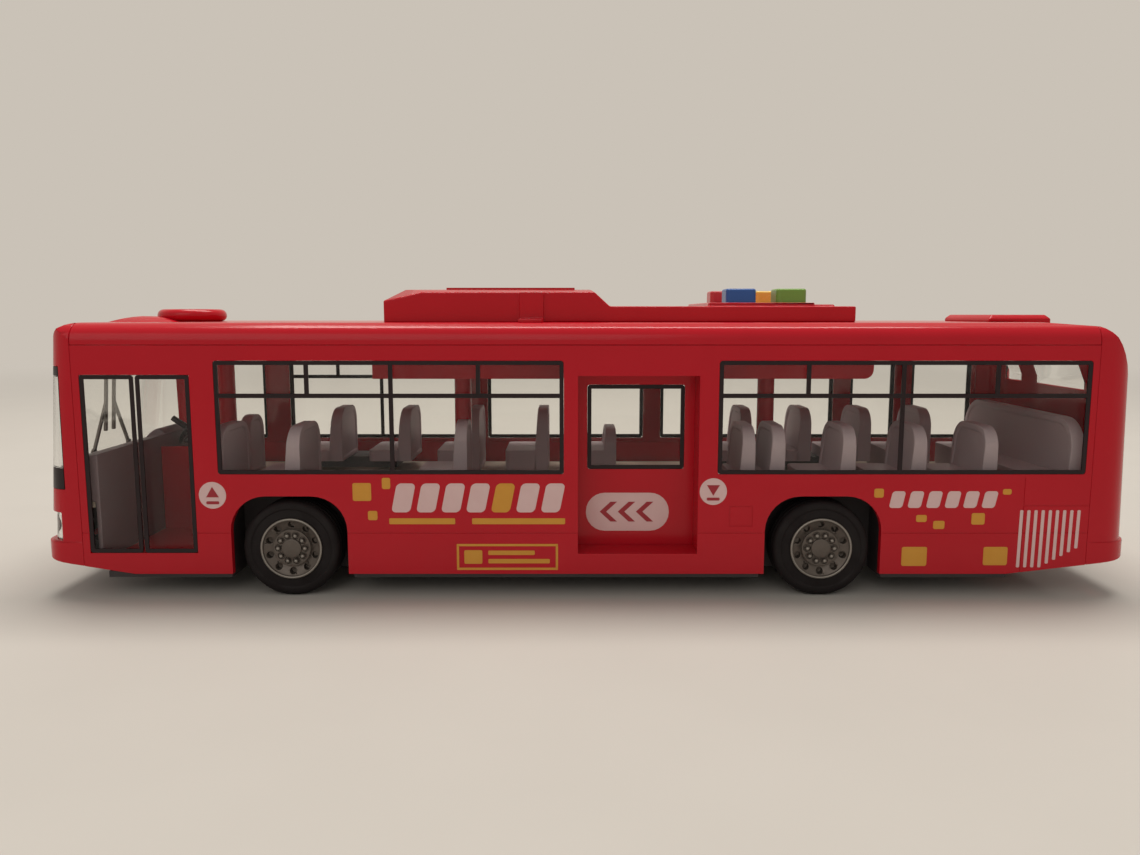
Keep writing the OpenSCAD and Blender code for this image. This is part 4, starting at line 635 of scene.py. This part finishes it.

# Wheels: painted highlights in silver on the nuts and on the rim's lip
WHEEL_Z = 13.0
NUTS, NUT_RING_R, NUT_DEPTH = 10, 3.6, 0.05
NUT_PROFILE = ((0.44, -0.1), (0.44, 0.02), (0.264, 0.12), (0.066, 0.15))
NUT_SIDES = 12
LIP_IN, LIP_OUT, LIP_SUNK = 7.72, 8.2, -0.02
LIP_SECTION = ((LIP_IN, LIP_SUNK), (LIP_IN, INK_MM), (LIP_OUT, INK_MM), (LIP_OUT, LIP_SUNK))
LIP_STEPS = 64


def add_nuts(form, hub):
    """Adds the silver tips of a wheel's nuts, which are painted highlights."""
    for i in range(NUTS):
        turn = 2 * math.pi * i / NUTS
        spot = (NUT_RING_R * math.cos(turn), NUT_RING_R * math.sin(turn), -NUT_DEPTH)
        turn_profile(form, NUT_PROFILE, hub @ Matrix.Translation(spot), NUT_SIDES)


def add_lip(form, hub):
    """Adds the silver ring on a rim's lip, a painted highlight."""
    rings = turned_rings(form, LIP_SECTION, hub, LIP_STEPS)
    for ring, after in zip(rings, rings[1:] + rings[:1]):
        join_rings(form, ring, after)


for end, axle_x in zip(("front", "rear"), AXLES_X):
    for side, out in (("near", -1), ("far", 1)):
        rim_low, rim_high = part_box(end + "_rim_" + side)
        face_y = (rim_low[1] if out < 0 else rim_high[1]) / MM
        hub = placed((axle_x, face_y, WHEEL_Z), (-out, 0, 0), (0, 0, 1))
        form = bmesh.new()
        add_nuts(form, hub)
        add_lip(form, hub)
        make_piece(end + "_" + side + "_wheel_highlight_paint", form, silver_highlight_paint, end + "_axle")

# Lamps: reflectors with bulbs behind the clear lenses, and a reflector behind each red lens
REFLECTOR_T = 0.5
HEADLAMP_X, HEADLAMP_Y, HEADLAMP_Z, HEADLAMP_R = -140.3, (19.4, 33.0), (15.8, 22.6), 1.0
HOUSING_X, HOUSING_Y, HOUSING_Z, HOUSING_R = -138.4, (18.8, 33.4), (15.2, 23.2), 1.2
HOUSING_T, HOUSING_EDGE_MM = 1.5, 0.2
CUP_X, CUP_Z, CUP_LIP, CUP_DEPTH = -140.7, 19.2, 0.3, 1.6
# Each cup's distance from the middle of the bus, and its radius
CUPS = ((24.4, 3.0), (30.6, 2.6))
BULB_PROFILE = ((0.9, 0.0), (0.9, 0.7), (0.65, 1.2), (0.2, 1.45))
BULB_SIDES = 16
TAIL_LAMP_X, TAIL_LAMP_Y, TAIL_LAMP_Z, TAIL_LAMP_R = 140.4, (25.2, 31.6), (15.8, 30.0), 0.8
TAIL_CUP_X, TAIL_CUP_Y, TAIL_CUPS_Z = 140.9, 28.2, (18.4, 22.9, 27.4)
TAIL_CUP_PROFILE = ((2.1, 0.0), (2.1, 0.6), (1.8, 0.6), (1.2, 0.2), (0.5, 0.05))


def cup_profile(r):
    """A headlamp's dished reflector, in section, from its rim to its middle."""
    rim = r + CUP_LIP
    return (rim, 0.0), (rim, CUP_DEPTH), (r, CUP_DEPTH), (r * 0.75, CUP_DEPTH / 2), (r * 0.3, 0.25)


def lamp_plate(form, x, out, y_limits, z_limits, radius, thick):
    """Adds a round-cornered plate that faces out at an end of the bus, on one side."""
    outline = round_patch(*end_limits(x, out, y_limits), *z_limits, radius)
    raise_outline(form, outline, end_face(x), 0.0, thick)


for side, out in (("near", -1), ("far", 1)):
    form = bmesh.new()
    bulbs = bmesh.new()
    lamp_plate(form, HEADLAMP_X, out, HEADLAMP_Y, HEADLAMP_Z, HEADLAMP_R, REFLECTOR_T)
    for cup_y, cup_r in CUPS:
        cup = end_face(CUP_X, out * cup_y, CUP_Z)
        turn_profile(form, cup_profile(cup_r), cup)
        turn_profile(bulbs, BULB_PROFILE, cup, BULB_SIDES)
    make_piece("headlamp_reflector_" + side, form, mirror_film, "bus_body")
    make_piece("headlamp_bulbs_" + side, bulbs, amber_dome, "bus_body")
    housing = bmesh.new()
    lamp_plate(housing, HOUSING_X, out, HOUSING_Y, HOUSING_Z, HOUSING_R, HOUSING_T)
    make_piece("headlamp_housing_" + side, housing, grained_black, "bus_body", HOUSING_EDGE_MM)
    form = bmesh.new()
    lamp_plate(form, TAIL_LAMP_X, out, TAIL_LAMP_Y, TAIL_LAMP_Z, TAIL_LAMP_R, REFLECTOR_T)
    for cup_z in TAIL_CUPS_Z:
        turn_profile(form, TAIL_CUP_PROFILE, end_face(TAIL_CUP_X, out * TAIL_CUP_Y, cup_z))
    make_piece("tail_lamp_reflector_" + side, form, mirror_film, "bus_body")

# A ribbed shield closes the nose from below, behind the bumper
SHIELD_X, SHIELD_HALF, SHIELD_R = (-142.2, -131.8), 32.4, 4.0
SHIELD_FOOT_Z, SHIELD_TOP_Z = 11.2, 12.0
SHIELD_RIBS_Y, SHIELD_RIB_HALF, SHIELD_RIB_R = (-20.0, 0.0, 20.0), 0.6, 0.4
SHIELD_RIB_Z = (SHIELD_TOP_Z - 0.1, SHIELD_TOP_Z + 1.2)
SHIELD_EDGE_MM = 0.2
shield = bmesh.new()
floor_plan = placed((0, 0, 0), (1, 0, 0), (0, 1, 0))
shield_outline = round_patch(*SHIELD_X, -SHIELD_HALF, SHIELD_HALF, SHIELD_R)
raise_outline(shield, shield_outline, floor_plan, SHIELD_FOOT_Z, SHIELD_TOP_Z)
for y in SHIELD_RIBS_Y:
    rib_outline = round_patch(*SHIELD_X, y - SHIELD_RIB_HALF, y + SHIELD_RIB_HALF, SHIELD_RIB_R)
    raise_outline(shield, rib_outline, floor_plan, *SHIELD_RIB_Z)
make_piece("nose_shield", shield, grained_black, "bus_body", SHIELD_EDGE_MM)

# Rubber domes: each stands on the board under its button
# Shares of the dome's radius and height, from its foot to its top
DOME_STEPS = ((1.0, 0.0), (1.0, 0.18), (0.86, 0.5), (0.74, 0.86), (0.62, 1.0), (0.12, 1.0))
for colour in ("red", "yellow", "blue", "green"):
    low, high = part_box("dome_" + colour)
    dome_r = (high[0] - low[0]) / 2 / MM
    dome_h = (high[2] - low[2]) / MM
    foot = ((low[0] + high[0]) / 2, (low[1] + high[1]) / 2, low[2])
    form = bmesh.new()
    upright = placed(Vector(foot) / MM, (1, 0, 0), (0, 1, 0))
    turn_profile(form, [(dome_r * r, dome_h * h) for r, h in DOME_STEPS], upright)
    dome = make_piece("soft_dome_" + colour, form, silicone, "bus_body", 0.0, "dome_" + colour)
    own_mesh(dome)

# Nose and tail: slatted grilles and bare number plates
FACE_X, FACE_Z = 145.2, 15.1
NOSE_LEAN = math.radians(4.1)
TAIL_LEAN = math.radians(1.4)
NOSE_GRILLE_V, NOSE_GRILLE_HALF, NOSE_GRILLE_H, NOSE_SLATS = 1.8, 14.0, 6.2, 3
ENGINE_GRILLE_V, ENGINE_GRILLE_HALF, ENGINE_GRILLE_H, ENGINE_SLATS = 3.0, 19.0, 11.5, 6
RAIL_W, RAIL_LAP, RAIL_R, RAIL_HEIGHTS = 0.8, 0.16, 0.3, (-0.2, 0.5)
SLAT_W, SLAT_R, SLAT_HEIGHTS = 0.64, 0.25, (-0.2, 0.4)
GRILLE_EDGE_MM = 0.1
BUMPER_X, BUMPER_PLATE_Z, TAIL_PLATE_V = -146.0, 12.75, 18.6
PLATE_HALF_W, PLATE_HALF_H, PLATE_R, PLATE_HEIGHTS = 9.0, 1.9, 0.5, (-0.2, 0.25)
PLATE_EDGE_MM = 0.08


def slatted_grille(name, place, half_w, height, slats):
    """A frame with slats that stand a little off the face behind them."""
    form = bmesh.new()
    for v in (0, height - RAIL_W):
        raise_outline(form, round_patch(-half_w, half_w, v, v + RAIL_W, RAIL_R), place, *RAIL_HEIGHTS)
    post_foot = RAIL_W - RAIL_LAP
    for u in (-half_w, half_w - RAIL_W):
        post = round_patch(u, u + RAIL_W, post_foot, height - post_foot, RAIL_R)
        raise_outline(form, post, place, *RAIL_HEIGHTS)
    pitch = (height - RAIL_W) / (slats + 1)
    for i in range(slats):
        v = pitch * (i + 1)
        slat = round_patch(-half_w + RAIL_W, half_w - RAIL_W, v, v + SLAT_W, SLAT_R)
        raise_outline(form, slat, place, *SLAT_HEIGHTS)
    return make_piece(name, form, grained_black, "bus_body", GRILLE_EDGE_MM)


nose_up = (math.sin(NOSE_LEAN), 0, math.cos(NOSE_LEAN))
tail_up = (-math.sin(TAIL_LEAN), 0, math.cos(TAIL_LEAN))
nose_place = placed((-FACE_X, 0, FACE_Z), (0, -1, 0), nose_up)
tail_place = placed((FACE_X, 0, FACE_Z), (0, 1, 0), tail_up)
slatted_grille("nose_grille", nose_place @ Matrix.Translation((0, NOSE_GRILLE_V, 0)),
               NOSE_GRILLE_HALF, NOSE_GRILLE_H, NOSE_SLATS)
slatted_grille("engine_grille", tail_place @ Matrix.Translation((0, ENGINE_GRILLE_V, 0)),
               ENGINE_GRILLE_HALF, ENGINE_GRILLE_H, ENGINE_SLATS)
plates = bmesh.new()
for face, v in ((end_face(BUMPER_X, 0.0, BUMPER_PLATE_Z), 0), (tail_place, TAIL_PLATE_V)):
    outline = round_patch(-PLATE_HALF_W, PLATE_HALF_W, v - PLATE_HALF_H, v + PLATE_HALF_H, PLATE_R)
    raise_outline(plates, outline, face, *PLATE_HEIGHTS)
make_piece("number_plates", plates, plate_white, "bus_body", PLATE_EDGE_MM)

# Stage: a plain pale floor, and a world of the same tone for what lies beyond it
FLOOR_COLOUR = "#c8c3bb"
FLOOR_SHADE = "#c3beb6"
FLOOR_PATCH_MM = 40.0
FLOOR_REACH_M = 4.0
FADE_FROM_M, FADE_TO_M = 0.35, 1.3
BACKDROP_COLOUR = "#cac2b7"
SKY_COLOUR = "#faf7f2"
SKY_LEVEL = 0.37


def seen_rays(tree):
    """1 for rays that show a surface, straight, mirrored or through a pane, and 0 for those that light."""
    path = add(tree, "LightPath")
    mirrored = add(tree, "Math", links={0: (path, "Is Camera Ray"), 1: (path, "Is Glossy Ray")},
                   operation="MAXIMUM")
    return add(tree, "Math", links={0: mirrored, 1: (path, "Is Transmission Ray")}, operation="MAXIMUM")


floor_material, tree = blank("Studio floor, pale matt")
place = add(tree, "TexCoord")
speckle = add(tree, "TexNoise", {"Scale": per_metre(FLOOR_PATCH_MM), "Detail": 3.0},
              {"Vector": (place, "Object")})
tone = add(tree, "Mix", {"A": linear(FLOOR_COLOUR), "B": linear(FLOOR_SHADE)}, {"Factor": speckle},
           data_type="RGBA")
matt = add(tree, "BsdfPrincipled", {"Roughness": 0.6, "Specular IOR Level": 0.3},
           {"Base Color": (tone, "Result")})
# Far from the bus the floor passes into the tone of the backdrop, so that no horizon shows
reach = add(tree, "VectorMath", links={0: (place, "Object")}, operation="LENGTH")
fade = add(tree, "MapRange",
           {"From Min": FADE_FROM_M, "From Max": FADE_TO_M, "To Min": 0.0, "To Max": 1.0},
           {"Value": (reach, "Value")}, interpolation_type="SMOOTHSTEP")
share = add(tree, "Math", links={0: seen_rays(tree), 1: fade}, operation="MULTIPLY")
beyond = add(tree, "Emission", {"Color": linear(BACKDROP_COLOUR), "Strength": 1.0})
ground = add(tree, "MixShader", links={0: share, 1: matt, 2: beyond})
add(tree, "OutputMaterial", links={"Surface": ground})

floor_corners = [(x * FLOOR_REACH_M, y * FLOOR_REACH_M, 0) for x, y in ((-1, -1), (1, -1), (1, 1), (-1, 1))]
floor_mesh = bpy.data.meshes.new("floor")
floor_mesh.from_pydata(floor_corners, [], [(0, 1, 2, 3)])
floor = bpy.data.objects.new("floor", floor_mesh)
floor_mesh.materials.append(floor_material)
bpy.context.scene.collection.objects.link(floor)
floor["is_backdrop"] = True

world = bpy.data.worlds.new("studio")
bpy.context.scene.world = world
world.use_nodes = True
tree = world.node_tree
tree.nodes.clear()
sky = add(tree, "Background", {"Color": linear(SKY_COLOUR), "Strength": SKY_LEVEL})
backdrop = add(tree, "Background", {"Color": linear(BACKDROP_COLOUR), "Strength": 1.0})
mix = add(tree, "MixShader", links={0: seen_rays(tree), 1: sky, 2: backdrop})
add(tree, "OutputWorld", links={"Surface": mix})

# Lamps of the studio: one broad soft box over the bus, a little behind it, and a weak one in front
LAMP_AIM_M = (0.0, 0.0, 0.03)


def soft_lamp(name, place_m, size_m, watts, colour):
    """A rectangular soft box that points at the bus."""
    light = bpy.data.lights.new(name, "AREA")
    light.shape = "RECTANGLE"
    light.size, light.size_y = size_m
    light.energy = watts
    light.color = linear(colour)[:3]
    lamp = bpy.data.objects.new(name, light)
    lamp.location = place_m
    lamp.rotation_euler = (Vector(LAMP_AIM_M) - Vector(place_m)).to_track_quat("-Z", "Y").to_euler()
    bpy.context.scene.collection.objects.link(lamp)


soft_lamp("overhead_softbox", place_m=(0.03, 0.27, 1.2), size_m=(1.1, 0.5), watts=14.6, colour="#fffaf4")
soft_lamp("front_fill", place_m=(-0.4, -1.2, 0.8), size_m=(1.2, 0.8), watts=2.5, colour="#fffcf8")

low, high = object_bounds()
